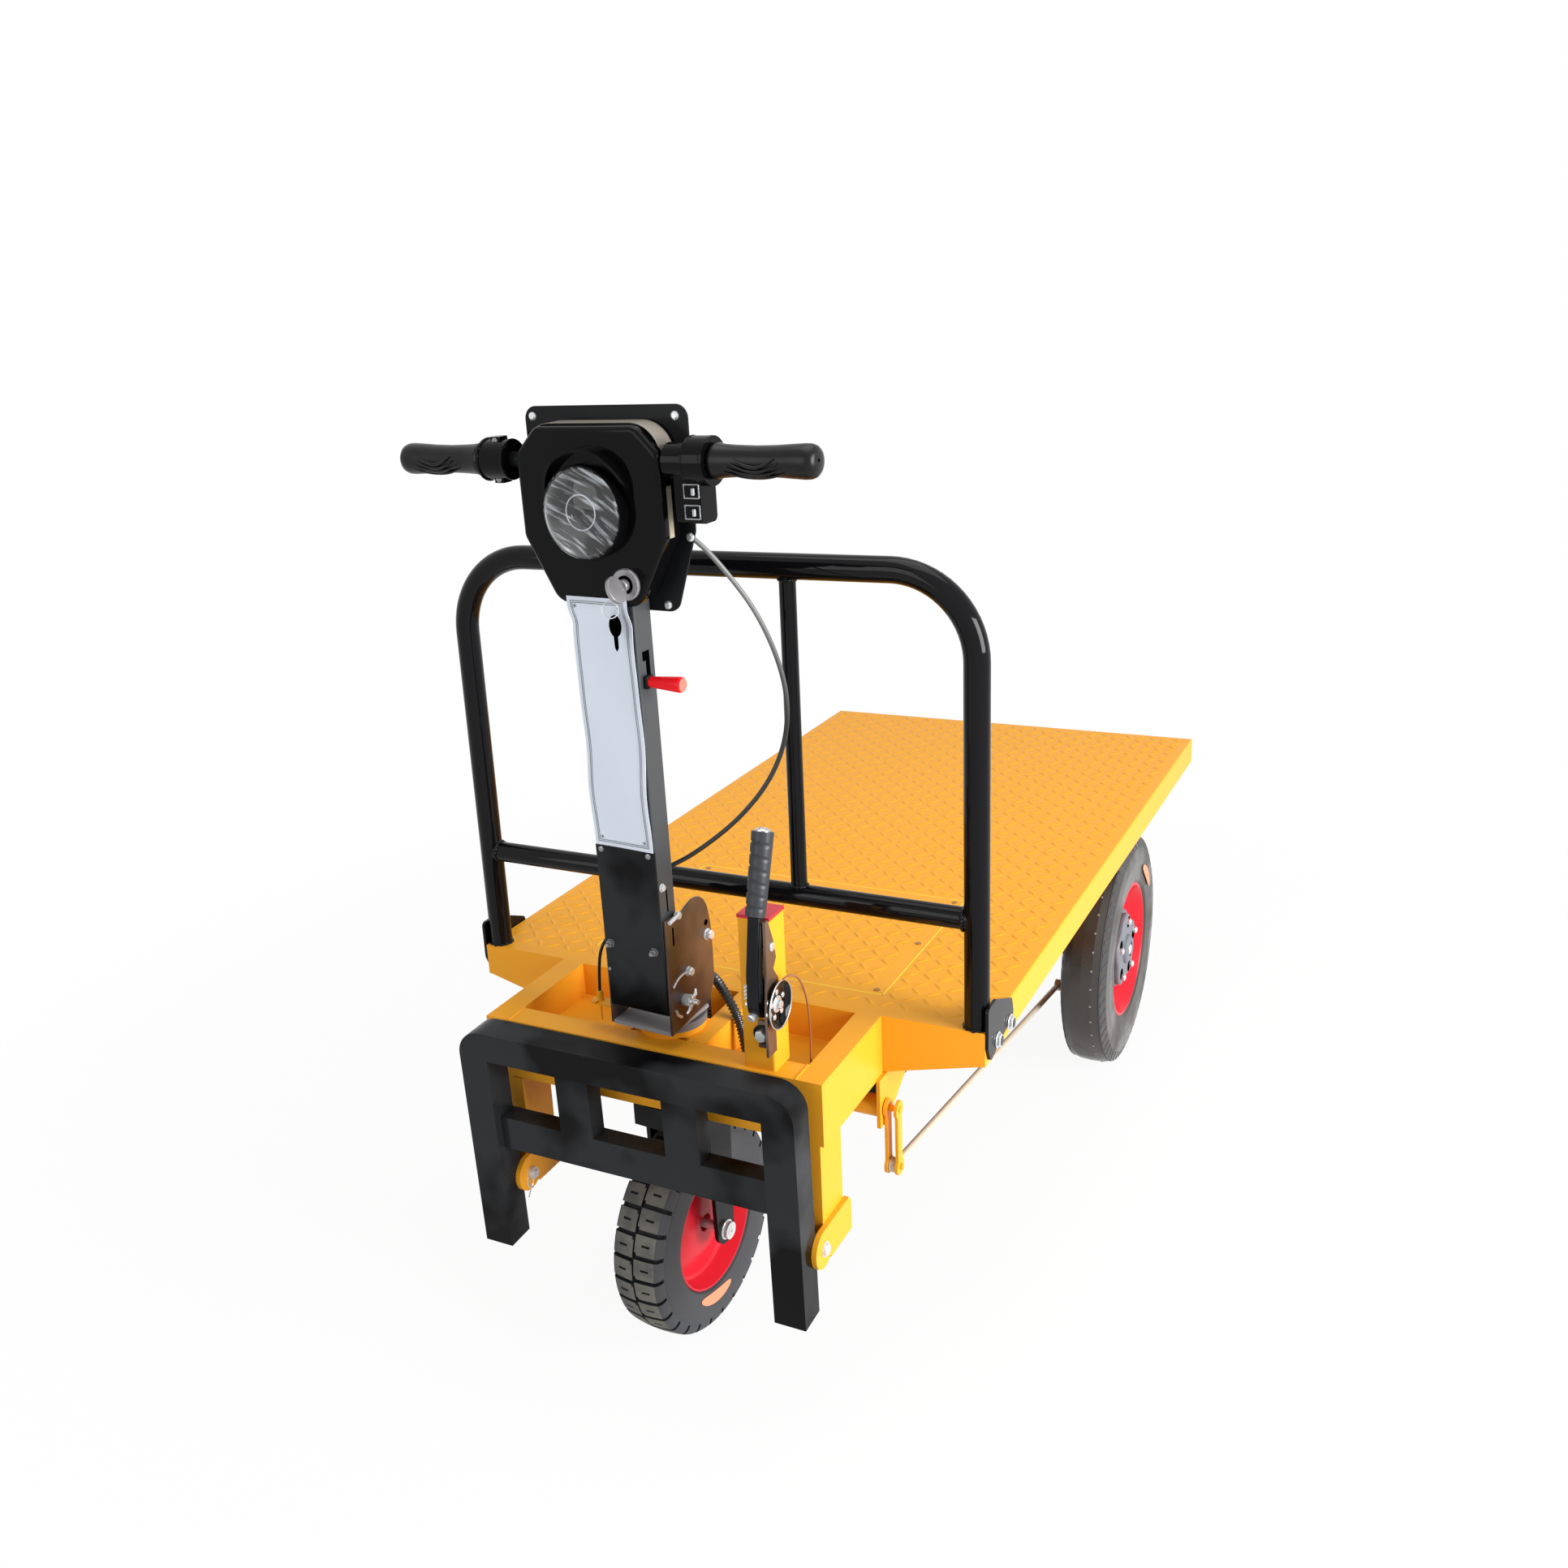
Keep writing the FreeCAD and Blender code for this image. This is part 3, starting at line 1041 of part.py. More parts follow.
def head_lamp():
    """Round lens with a shallow dome."""
    r = LAMP_RADIUS
    edge = LAMP_PROUD
    dome = [(-edge - LAMP_DOME * (1 - (i / 6.0) ** 2), r * i / 6.0) for i in range(6, -1, -1)]
    profile = [(0, 0), (0, r)] + dome
    return tilt(revolve_y(profile, 0, -SHELL_FRONT, LAMP_HEIGHT))


def lamp_hood():
    """Eyebrow over the upper half of the lamp, tapering to nothing at the sides."""
    z = LAMP_HEIGHT + HOOD_LIFT
    ring = rod(HOOD_RADIUS, V(0, -SHELL_FRONT, z), V(0, -1, 0), HOOD_PROUD)
    ring = ring.cut(rod(HOOD_RADIUS - HOOD_WALL, V(0, -SHELL_FRONT + 1, z), V(0, -1, 0), HOOD_PROUD + 2))
    ahead = -SHELL_FRONT - HOOD_PROUD - 1
    behind = -SHELL_FRONT + 1
    below = z - HOOD_RADIUS - 1
    cut = plate_x([(ahead, z + HOOD_RADIUS * 0.8), (ahead, below), (behind, below), (behind, z - 8)],
                  -HOOD_RADIUS - 1, HOOD_RADIUS + 1)
    return ring.cut(cut)


def key_lock():
    ring = rod(LOCK_RADIUS, V(LOCK_OFFSET, -SHELL_FRONT, LOCK_HEIGHT), V(0, -1, 0), 4)
    barrel = rod(10, V(LOCK_OFFSET, -SHELL_FRONT - 4, LOCK_HEIGHT), V(0, -1, 0), 8)
    return tilt(fuse(ring, barrel))


def handlebar():
    half = BAR_HALF_LENGTH - GRIP_CAP
    return tilt(rod(BAR_TUBE / 2, V(-half, -BAR_SETBACK, BAR_HEIGHT), ACROSS, 2 * half))


def grip(side):
    """Moulded grip, waisted behind a round end."""
    r = GRIP_DIAMETER / 2
    end = BAR_HALF_LENGTH
    start = end - GRIP_LENGTH
    inner = end - GRIP_CAP
    profile = [(start, BAR_TUBE / 2), (start, r + 1), (start + 30, r + 3), (start + 70, r + 1),
               (end - 34, r + 2), (end - 10, r + 3.5), (end - 2, r), (end, r - 5), (end, 0), (inner, 0),
               (inner, BAR_TUBE / 2)]
    g = revolve_x(profile, 0, -BAR_SETBACK, BAR_HEIGHT)
    return tilt(g if side > 0 else mirror_x(g))


def bar_controls():
    """Left clamp collar; right twist-grip housing with its flange and the switch box below."""
    y, z = -BAR_SETBACK, BAR_HEIGHT
    grip_start = BAR_HALF_LENGTH - GRIP_LENGTH
    collar = rod(COLLAR_RADIUS, V(-grip_start + 4, y, z), ACROSS, COLLAR_LENGTH)
    body = rod(THROTTLE_RADIUS, V(THROTTLE_START, y, z), ACROSS, FLANGE_START - THROTTLE_START)
    flange = rod(THROTTLE_FLANGE, V(FLANGE_START, y, z), ACROSS, grip_start - 2 - FLANGE_START)
    x = THROTTLE_START + 15
    half = SWITCH_DEPTH / 2
    block = box(x, x + SWITCH_WIDTH, y - half, y + half, z - SWITCH_DROP, z - BAR_TUBE / 2)
    block = fillet(block, 8.0, lambda m, d: abs(d.x) > 0.99 and m.z < z - SWITCH_DROP + 1)
    bore = rod(BAR_TUBE / 2, V(-BAR_HALF_LENGTH, y, z), ACROSS, 2 * BAR_HALF_LENGTH)
    return tilt(Part.makeCompound([collar.cut(bore), fuse(body, flange, block).cut(bore)]))


def pair(maker):
    """Left and right of the same piece, standing apart on one body."""
    return Part.makeCompound([maker(-1), maker(1)])


def main():
    os.makedirs("parts", exist_ok=True)
    shapes = {
        "deck_plate": deck_plate(), "deck_hatch": deck_hatch(), "main_rails": main_rails(),
        "cross_members": cross_members(),
        "fascias": pair(fascia), "nose_frame": nose_frame(), "nose_floor": nose_floor(),
        "step_brackets": pair(step_bracket),
        "step_pins": pair(step_pin), "step_frame": step_frame(),
        "guard_hoop": guard_hoop(), "guard_cross_tube": guard_cross_tube(),
        "guard_middle_post": guard_middle_post(), "guard_feet": pair(guard_foot),
        "brake_post": brake_post(), "brake_post_cap": brake_post_cap(),
        "brake_sector": brake_sector(), "brake_lever": brake_lever(), "brake_grip": brake_grip(),
        "brake_pulley": brake_pulley(), "brake_wire": brake_wire(), "conduit": conduit(),
        "brake_cross_shaft": brake_cross_shaft(), "brake_hangers": pair(brake_hanger),
        "brake_rod": brake_rod(),
        "rear_axle": rear_axle(),
        "axle_stands": pair(axle_stand), "brake_plates": pair(brake_plate),
        "battery_box": battery_box(),
        "rear_tyre_left": rear_tyre(-1), "rear_rim_left": rear_rim(-1), "rear_hub_left": rear_hub(-1),
        "rear_tyre_right": rear_tyre(1), "rear_rim_right": rear_rim(1), "rear_hub_right": rear_hub(1),
        "front_tyre": front_tyre(), "front_rim": front_rim(), "fork_crown": fork_crown(),
        "fork_blades": pair(fork_blade), "front_axle": front_axle(),
        "turntable_disc": turntable_disc(), "tiller_base": tiller_base(), "tilt_pin": tilt_pin(),
        "cable_tab": cable_tab(), "left_cable": left_cable(), "control_cable": control_cable(),
        "column_tube": column_tube(), "column_cover": column_cover(), "column_label": column_label(),
        "latch_handle": latch_handle(), "head_shell": head_shell(), "head_body": head_body(),
        "head_flange": head_flange(), "head_lamp": head_lamp(),
        "key_lock": key_lock(), "handlebar": handlebar(), "grips": pair(grip),
        "bar_controls": bar_controls(),
    }
    for node, shape in shapes.items():
        write(node, shape)


main()
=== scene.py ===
import json
import random
from functools import partial
from math import copysign, cos, pi, radians, sin, sqrt

import bmesh
import bpy
from mathutils import Matrix, Vector


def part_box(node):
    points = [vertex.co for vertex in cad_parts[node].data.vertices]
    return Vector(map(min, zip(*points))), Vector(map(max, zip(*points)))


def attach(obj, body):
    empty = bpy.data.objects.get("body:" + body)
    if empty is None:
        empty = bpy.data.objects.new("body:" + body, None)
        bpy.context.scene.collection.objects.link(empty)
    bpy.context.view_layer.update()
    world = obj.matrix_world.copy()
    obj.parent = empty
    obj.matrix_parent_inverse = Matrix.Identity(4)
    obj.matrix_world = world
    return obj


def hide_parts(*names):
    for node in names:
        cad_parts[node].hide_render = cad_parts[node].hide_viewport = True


# Looks of the electric cargo tricycle. Pieces are written in millimetres from the deck's front edge,
# X across, Y to the rear and Z up, and a matrix takes them into the CAD's frame in metres.

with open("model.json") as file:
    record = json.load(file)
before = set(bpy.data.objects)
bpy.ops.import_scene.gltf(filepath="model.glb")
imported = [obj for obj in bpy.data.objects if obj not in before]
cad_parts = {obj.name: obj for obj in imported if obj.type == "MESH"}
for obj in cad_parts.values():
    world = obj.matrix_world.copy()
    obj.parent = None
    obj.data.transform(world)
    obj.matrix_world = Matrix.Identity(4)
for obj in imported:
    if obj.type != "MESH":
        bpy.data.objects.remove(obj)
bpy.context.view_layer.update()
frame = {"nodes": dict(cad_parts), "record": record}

# ---- where things are ----
MM = 0.001
DECK_LOW, DECK_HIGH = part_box("deck_plate")
SHIFT_Y = DECK_LOW.y / MM
DECK_TOP = DECK_HIGH.z / MM
STEER_SETBACK = 138
STEER_REST = radians(-4)
PIVOT = (-181, 612)
COLUMN_LEAN = radians(1.4)
TAU = 2 * pi
RIGHT, FRONT, UP = (1, 0, 0), (0, -1, 0), (0, 0, 1)

FIXED = Matrix.Scale(MM, 4) @ Matrix.Translation((0, SHIFT_Y, 0))


def turned(matrix, point):
    return Matrix.Translation(point) @ matrix @ Matrix.Translation([-c for c in point])


STEERED = FIXED @ turned(Matrix.Rotation(STEER_REST, 4, "Z"), (0, -STEER_SETBACK, 0))
TILTED = STEERED @ turned(Matrix.Rotation(COLUMN_LEAN, 4, "X"), (0, *PIVOT))

# ---- materials ----
YELLOW = (0.9, 0.39, 0.022)
materials = {}


def set_inputs(node, **values):
    """Values for a node's sockets, with _ for each space in a socket's name."""
    for socket, value in values.items():
        node.inputs[socket.replace("_", " ")].default_value = value
    return node


def add_node(nodes, kind, **values):
    return set_inputs(nodes.new("ShaderNode" + kind), **values)


def material(name, color, roughness, metallic=0, specular=0.5, **more):
    m = bpy.data.materials.new(name)
    m.use_nodes = True
    set_inputs(m.node_tree.nodes["Principled BSDF"], Base_Color=(*color, 1), Roughness=roughness,
               Metallic=metallic, Specular_IOR_Level=specular, **more)
    materials[name] = m
    return m


def noise(m, scale, place=None):
    """Noise in the object's own coordinates, or in those given."""
    nodes = m.node_tree.nodes
    place = place or add_node(nodes, "TexCoord").outputs["Object"]
    texture = add_node(nodes, "TexNoise", Scale=scale, Detail=3)
    m.node_tree.links.new(place, texture.inputs["Vector"])
    return texture


def vary(m, socket, low, high, source, at=(0.4, 0.6)):
    """A socket of the material wanders between low and high with a noise."""
    nodes, links = m.node_tree.nodes, m.node_tree.links
    ramp = add_node(nodes, "ValToRGB")
    for element, position, value in zip(ramp.color_ramp.elements, at, (low, high)):
        element.position = position
        element.color = (*value, 1) if isinstance(value, tuple) else (value, value, value, 1)
    links.new(source.outputs["Fac"], ramp.inputs["Fac"])
    links.new(ramp.outputs["Color"], nodes["Principled BSDF"].inputs[socket])


def rough_surface(m, scale, strength, distance=0.001):
    nodes, links = m.node_tree.nodes, m.node_tree.links
    bump = add_node(nodes, "Bump", Strength=strength, Distance=distance)
    links.new(noise(m, scale).outputs["Fac"], bump.inputs["Height"])
    links.new(bump.outputs["Normal"], nodes["Principled BSDF"].inputs["Normal"])


# name, color, roughness, and metallic and specular where they are not 0 and 0.5
PLAIN_MATERIALS = [
    ("column_black", (0.05, 0.054, 0.058), 0.35, 0, 0.4),
    ("red_paint", (0.64, 0.018, 0.033), 0.28, 0, 0.25),
    ("bright_steel", (0.55, 0.55, 0.55), 0.16, 0.9),
    ("orange_steel", YELLOW, 0.4, 0, 0.14),
    ("black_plastic", (0.0025, 0.0025, 0.003), 0.08, 0, 0.11),
    ("grey_plastic", (0.034, 0.036, 0.041), 0.36, 0, 0.3),
    ("red_plastic", (0.88, 0.006, 0.012), 0.22, 0, 0.15),
    ("knob_end", (0.56, 0.18, 0.13), 0.3, 0, 0.15),
    ("white_label", (0.72, 0.78, 0.88), 0.3),
    ("frame_line", (0.16, 0.17, 0.19), 0.4),
    ("black_rubber", (0.012, 0.012, 0.012), 0.5, 0, 0.2),
    ("grip_rubber", (0.007, 0.007, 0.008), 0.3, 0, 0.2),
    ("hose_black", (0.016, 0.016, 0.017), 0.3, 0, 0.6),
    ("rod_pale", (0.6, 0.54, 0.43), 0.4, 0.15),
    ("brown_cable", (0.28, 0.09, 0.03), 0.4),
    # Darker rubber in the tread's grooves: painted shade.
    ("tyre_groove_painted_shade", (0.014, 0.015, 0.017), 0.7, 0, 0.2),
    ("dull_brass", (0.34, 0.17, 0.04), 0.45, 0.6),
    # Flat black: painted shade for slots, holes, pockets and the keyway, and the hanging key's colour.
    ("flat_black_and_painted_shade", (0.001, 0.001, 0.001), 1, 0, 0),
    ("pale_ledge", (0.29, 0.28, 0.29), 0.5),
    ("orange_label", (0.8, 0.27, 0.14), 0.5),
    ("seam_yellow", (1, 0.68, 0.05), 0.4, 0, 0.14),
    ("key_metal", (0.3, 0.29, 0.3), 0.3, 0.6),
    ("tyre_light", (0.25, 0.25, 0.24), 0.55),
    ("lens_ring", (0.45, 0.47, 0.49), 0.3),
    ("bright_screw", (0.7, 0.72, 0.73), 0.25, 0.7),
    # Beige panel on the head body's side: a painted reflection.
    ("pale_painted_reflection", (0.36, 0.31, 0.23), 0.25),
    ("gunmetal", (0.24, 0.24, 0.25), 0.22, 0.7),
    # Pale strip on the head body's top edge: a painted reflection on black plastic.
    ("painted_top_reflection", (0.3, 0.27, 0.23), 0.3, 0.2),
    ("slider_white", (0.45, 0.47, 0.48), 0.4),
    ("sector_brown", (0.17, 0.11, 0.08), 0.25, 0.5),
    ("bright_rim", (0.55, 0.52, 0.48), 0.3, 0.8),
]


def make_materials():
    for row in PLAIN_MATERIALS:
        material(*row)
    yellow = material("yellow_paint", YELLOW, 0.4, specular=0.14)
    rough_surface(yellow, 30, 0.08, 0.002)
    gloss = material("black_gloss_paint", (0.004, 0.004, 0.005), 0.06, specular=0.16)
    rough_surface(gloss, 40, 0.05, 0.001)
    satin = material("black_satin_paint", (0.006, 0.007, 0.008), 0.3, specular=0.15)
    vary(satin, "Roughness", 0.16, 0.42, noise(satin, 9))
    dusty = material("dusty_black", (0.01, 0.01, 0.011), 0.3, specular=0.1)
    vary(dusty, "Base Color", (0.001, 0.001, 0.0015), (0.021, 0.023, 0.025), noise(dusty, 5), (0.43, 0.53))
    vary(dusty, "Roughness", 0.12, 0.5, noise(dusty, 7))
    zinc = material("zinc_steel", (0.66, 0.67, 0.68), 0.34, metallic=0.55)
    vary(zinc, "Roughness", 0.25, 0.45, noise(zinc, 60))
    rough_surface(material("grey_casting", (0.16, 0.17, 0.19), 0.5), 300, 0.2)
    rough_surface(material("tyre", (0.05, 0.052, 0.057), 0.6, specular=0.3), 120, 0.3)
    blocks = material("tyre_tread", (0.115, 0.112, 0.098), 0.7, specular=0.3)
    vary(blocks, "Base Color", (0.085, 0.084, 0.078), (0.14, 0.135, 0.115), noise(blocks, 30))
    smooth = material("tyre_smooth", (0.03, 0.025, 0.021), 0.3, specular=0.6)
    vary(smooth, "Roughness", 0.22, 0.5, noise(smooth, 9))
    lamp_painted_streaks()
    # Brown wandering over black paint: the yellow paint's reflection, painted into the colour.
    brown = material("black_with_painted_brown_reflection", (0.03, 0.015, 0.009), 0.28, specular=0.5)
    vary(brown, "Base Color", (0.045, 0.027, 0.018), (0.125, 0.062, 0.036), noise(brown, 9))
    armoured_cable()
    material("clear_lens", (0.95, 0.97, 0.98), 0.03, Transmission_Weight=1, IOR=1.25)


def lamp_painted_streaks():
    """Inside of the lamp: dark, with long pale streaks painted in as highlights on the glass."""
    m = material("reflector", (0.08, 0.07, 0.07), 0.18, metallic=0.3)
    nodes = m.node_tree.nodes
    stretch = add_node(nodes, "Mapping")
    stretch.vector_type = "TEXTURE"
    set_inputs(stretch, Rotation=(0, radians(28), 0), Scale=(0.06, 0.05, 0.0065))
    place = add_node(nodes, "TexCoord")
    m.node_tree.links.new(place.outputs["Object"], stretch.inputs["Vector"])
    streaks = noise(m, 1, stretch.outputs["Vector"])
    vary(m, "Base Color", (0.016, 0.013, 0.013), (0.62, 0.64, 0.66), streaks, (0.52, 0.72))


def armoured_cable():
    """Bare metal winding above, black sheath below."""
    m = material("armoured_cable", (0.02, 0.02, 0.02), 0.35)
    nodes, links = m.node_tree.nodes, m.node_tree.links
    place = add_node(nodes, "TexCoord")
    split = add_node(nodes, "SeparateXYZ")
    share = add_node(nodes, "MapRange", From_Min=1.02, From_Max=1.18)
    mix = add_node(nodes, "Mix")
    mix.data_type = "RGBA"
    mix.inputs[6].default_value = (0.01, 0.01, 0.01, 1)
    mix.inputs[7].default_value = (0.15, 0.155, 0.15, 1)
    links.new(place.outputs["Object"], split.inputs[0])
    links.new(split.outputs["Z"], share.inputs["Value"])
    links.new(share.outputs[0], mix.inputs[0])
    links.new(mix.outputs[2], nodes["Principled BSDF"].inputs["Base Color"])


FINISHES = {"brake_sector": "sector_brown", "step_frame": "dusty_black", "brake_rod": "rod_pale",
            "column_cover": "dusty_black", "column_tube": "column_black", "rear_tyre_left": "tyre_smooth",
            "rear_tyre_right": "tyre_smooth"}
EDGES = {"deck_plate": 1.2, "deck_hatch": 0.6, "nose_frame": 2, "step_frame": 2.5, "step_brackets": 1.5,
         "brake_post": 2.5, "column_tube": 3, "column_cover": 1, "head_body": 2, "fascias": 0.8,
         "guard_feet": 1}


def dress_cad():
    """Each CAD node takes the finish of its own slot, or the one FINISHES lists for it, and folded edges
    catch the light.
    """
    for part in frame["record"]["subparts"]:
        node = part["node"]
        obj = frame["nodes"][node]
        obj.data.materials.clear()
        obj.data.materials.append(materials[FINISHES.get(node, part["material_slot"])])
        if node in EDGES:
            soften(obj, EDGES[node])


def soften(obj, width):
    cut = obj.modifiers.new("edges", "BEVEL")
    cut.width = width * MM
    cut.segments = 2
    cut.limit_method = "ANGLE"
    cut.angle_limit = radians(40)


# ---- shapes: each returns (points, faces) in millimetres ----
def block(low, high):
    x, y, z = zip(low, high)
    points = [(x[i], y[j], z[k]) for k in (0, 1) for j in (0, 1) for i in (0, 1)]
    return points, [(0, 2, 3, 1), (4, 5, 7, 6), (0, 1, 5, 4), (2, 6, 7, 3), (0, 4, 6, 2), (1, 3, 7, 5)]


def around(count, start=0):
    """Angles spread evenly round a circle."""
    return [TAU * (i + start) / count for i in range(count)]


def spoke(centre, radius, angle):
    """Place (y, z) on a wheel, at an angle from straight up."""
    return centre[0] + radius * sin(angle), centre[1] + radius * cos(angle)


def skin(rings, sides, ends=True):
    """Faces between rings of points, and over the first and last ring."""
    faces = []
    for r in range(rings - 1):
        for i in range(sides):
            k = (i + 1) % sides
            faces.append((r * sides + i, r * sides + k, (r + 1) * sides + k, (r + 1) * sides + i))
    if ends:
        faces.append(tuple(reversed(range(sides))))
        faces.append(tuple((rings - 1) * sides + i for i in range(sides)))
    return faces


def plate(n):
    """Faces between two outlines of n points, and over both."""
    faces = [tuple(range(n)), tuple(reversed(range(n, 2 * n)))]
    return faces + [(i, i + n, (i + 1) % n + n, (i + 1) % n) for i in range(n)]


def lathe(at, axis, profile, sides=32, turn=0):
    """Closed solid of revolution about axis through at, from an outline of (along, radius)."""
    rotation = Vector(axis).to_track_quat("Z", "Y").to_matrix()
    centre = Vector(at)
    points = []
    for along, radius in profile:
        for a in around(sides):
            offset = Vector((radius * cos(a + turn), radius * sin(a + turn), along))
            points.append(tuple(centre + rotation @ offset))
    closed = profile[0] == profile[-1]
    faces = skin(len(profile), sides, ends=not closed)
    if closed:
        points = points[:-sides]
        faces = [tuple(v % len(points) for v in face) for face in faces]
    return points, faces


def drum(at, axis, radius, length, sides=24, edge=0):
    """Cylinder, with its far edge broken."""
    profile = [(0, radius), (length - edge, radius)]
    if edge:
        profile.append((length, radius - edge))
    return lathe(at, axis, profile, sides)


def hexagon(at, axis, across, height):
    radius = across / sqrt(3)
    return lathe(at, axis, [(0, radius), (height * 0.8, radius), (height, radius * 0.86)], 6, 0.3)


def nut(at, axis, washer, thick, across, height, sides=24):
    """Hexagon nut or head on its washer."""
    above = Vector(at) + Vector(axis) * thick
    return [drum(at, axis, washer, thick, sides), hexagon(above, axis, across, height)]


def rod(start, end, radius, sides=12):
    axis = Vector(end) - Vector(start)
    return lathe(start, axis, [(0, radius), (axis.length, radius)], sides)


def hoop(at, axis, radius, thick, sides=40, facets=8):
    profile = [(thick * sin(a), radius + thick * cos(a)) for a in around(facets)]
    return lathe(at, axis, profile + profile[:1], sides)


def bead(at, axis, radius, thick, seed, sides=36):
    """Uneven ring of weld round a tube."""
    points, faces = hoop(at, axis, radius, thick, sides, 6)
    rng = random.Random(seed)
    sizes = [1 + 0.3 * sin(i * 2.2) + rng.uniform(-0.15, 0.15) for i in range(sides)]
    centre, direction = Vector(at), Vector(axis).normalized()
    out = []
    for n, point in enumerate(points):
        offset = Vector(point) - centre
        along = direction * offset.dot(direction)
        outward = offset - along
        spine = outward.normalized() * radius
        out.append(tuple(centre + spine + (outward - spine + along) * sizes[n % sides]))
    return out, faces


def prism(outline, axis, low, high):
    """Plate from an outline, thick along the x or the y axis."""
    points = [(h, a, b) if axis == "x" else (a, h, b) for h in (low, high) for a, b in outline]
    return points, plate(len(outline))


def sweep(line, radii, sides=12):
    """Tube along points, with its own radius at each."""
    points = []
    side = None
    for i, at in enumerate(line):
        run = (line[min(i + 1, len(line) - 1)] - line[max(i - 1, 0)]).normalized()
        side = (side or Vector((0.3, 0.2, 1)).cross(run)).normalized()
        side = (side - run * side.dot(run)).normalized()
        over = run.cross(side)
        for a in around(sides):
            points.append(tuple(at + (side * cos(a) + over * sin(a)) * radii[i]))
    return points, skin(len(line), sides)


def add_object(name, data):
    obj = bpy.data.objects.new(name, data)
    bpy.context.scene.collection.objects.link(obj)
    return obj


def piece(matrix, body, name, shapes, slot, finish=None, bevel=0, smooth=35):
    """One object out of several shapes, riding on a CAD body."""
    points, faces = [], []
    for more_points, more_faces in shapes:
        start = len(points)
        points += [tuple(matrix @ Vector(at)) for at in more_points]
        faces += [tuple(start + v for v in face) for face in more_faces]
    mesh = bpy.data.meshes.new(name)
    mesh.from_pydata(points, [], faces)
    mesh.materials.append(materials[finish or slot])
    bm = bmesh.new()
    bm.from_mesh(mesh)
    bmesh.ops.recalc_face_normals(bm, faces=bm.faces)
    bm.to_mesh(mesh)
    bm.free()
    mesh.shade_smooth()
    mesh.set_sharp_from_angle(angle=radians(smooth))
    obj = add_object(name, mesh)
    if bevel:
        soften(obj, bevel)
    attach(obj, body)
    return obj


on_chassis = partial(piece, FIXED, "chassis")
on_steering = partial(piece, STEERED, "steering")
on_column = partial(piece, TILTED, "column")


# ---- cords: control points of a smooth line, in millimetres, heights from the deck surface ----
BRAKE_WIRE_ROUTE = [(228, -211, 146.6), (229, -201, 148.4), (240, -187, 143), (248, -179, 109),
                    (246, -167, 49), (240, -158, -3), (239, -154, -57)]
CONDUIT_ROUTE = [(104, -97, -55.4), (97, -94, -8), (68, -84, 34), (34, -62, 52), (5, -38, 36),
                 (0, -30, -4), (0, -30, -57)]
CONTROL_CABLE_ROUTE = [(80, -190, 775), (111, -171, 747), (139, -144, 699), (165, -116, 643),
                       (182, -92, 577), (190, -80, 515), (184, -78, 451), (162, -89, 393),
                       (126, -110, 343), (82, -134, 303), (38, -158, 273), (0, -184, 259)]
LEFT_CABLE_ROUTE = [(-94.7, -187.5, 61.3), (-93.5, -187, 98), (-88, -185, 132), (-72, -178, 158),
                    (-63, -173.9, 181.5)]
RIB_STEP = 0.0015
RIB_SHAPE = (1, 1, 0.76, 0.76)


def from_deck(at):
    return FIXED @ Vector((at[0], at[1], DECK_TOP + at[2]))


def smooth_line(route):
    """Points along the NURBS line that has the route as its control points."""
    curve = bpy.data.curves.new("route", "CURVE")
    curve.dimensions = "3D"
    spline = curve.splines.new("NURBS")
    spline.points.add(len(route) - 1)
    for point, at in zip(spline.points, route):
        point.co = (*from_deck(at), 1)
    spline.order_u = 3
    spline.use_endpoint_u = True
    spline.resolution_u = 12
    guide = add_object("route", curve)
    bpy.context.view_layer.update()
    mesh = bpy.data.meshes.new_from_object(guide.evaluated_get(bpy.context.evaluated_depsgraph_get()))
    points = [v.co.copy() for v in mesh.vertices]
    bpy.data.objects.remove(guide)
    bpy.data.meshes.remove(mesh)
    return points


def line_length(points):
    return sum((b - a).length for a, b in zip(points, points[1:]))


def cord(name, node, route, radius, slot, body, finish=None, ribbed=False):
    """Round cord along its route, or a ribbed hose."""
    line = smooth_line(route)
    radii = [radius * MM] * len(line)
    if ribbed:
        line = evenly(line, RIB_STEP)
        radii = [radius * MM * RIB_SHAPE[i % len(RIB_SHAPE)] for i in range(len(line))]
    obj = piece(Matrix(), body, name, [sweep(line, radii, 14)], slot, finish, smooth=30 if ribbed else 60)
    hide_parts(node)


def evenly(line, step):
    """The same line with points a step apart."""
    total = line_length(line)
    count = max(2, int(round(total / step)))
    out, index, walked = [], 0, 0
    for n in range(count + 1):
        want = total * n / count
        while index < len(line) - 2 and walked + (line[index + 1] - line[index]).length < want:
            walked += (line[index + 1] - line[index]).length
            index += 1
        run = (line[index + 1] - line[index]).length
        out.append(line[index].lerp(line[index + 1], min(1, (want - walked) / run)))
    return out


# ---- deck and guard ----
DECK_HALF = 450
DECK_LENGTH = 1580
HATCH_HALF = 263
HATCH_FRONT, HATCH_BACK = 66, 466
TREAD_PITCH = 28
TREAD_COLUMNS = 17
LUG_HEIGHT = 1.8
EDGE_MARGIN = 12


def near_edge(x, y):
    """Whether a lug at (x, y) would lie over the deck's edge or the hatch's seam."""
    m = EDGE_MARGIN
    if abs(x) > DECK_HALF - m or y < m or y > DECK_LENGTH - m:
        return True
    beside = abs(abs(x) - HATCH_HALF) < m and HATCH_FRONT - m < y < HATCH_BACK + m
    across = abs(x) < HATCH_HALF + m and min(abs(y - HATCH_FRONT), abs(y - HATCH_BACK)) < m
    return beside or across


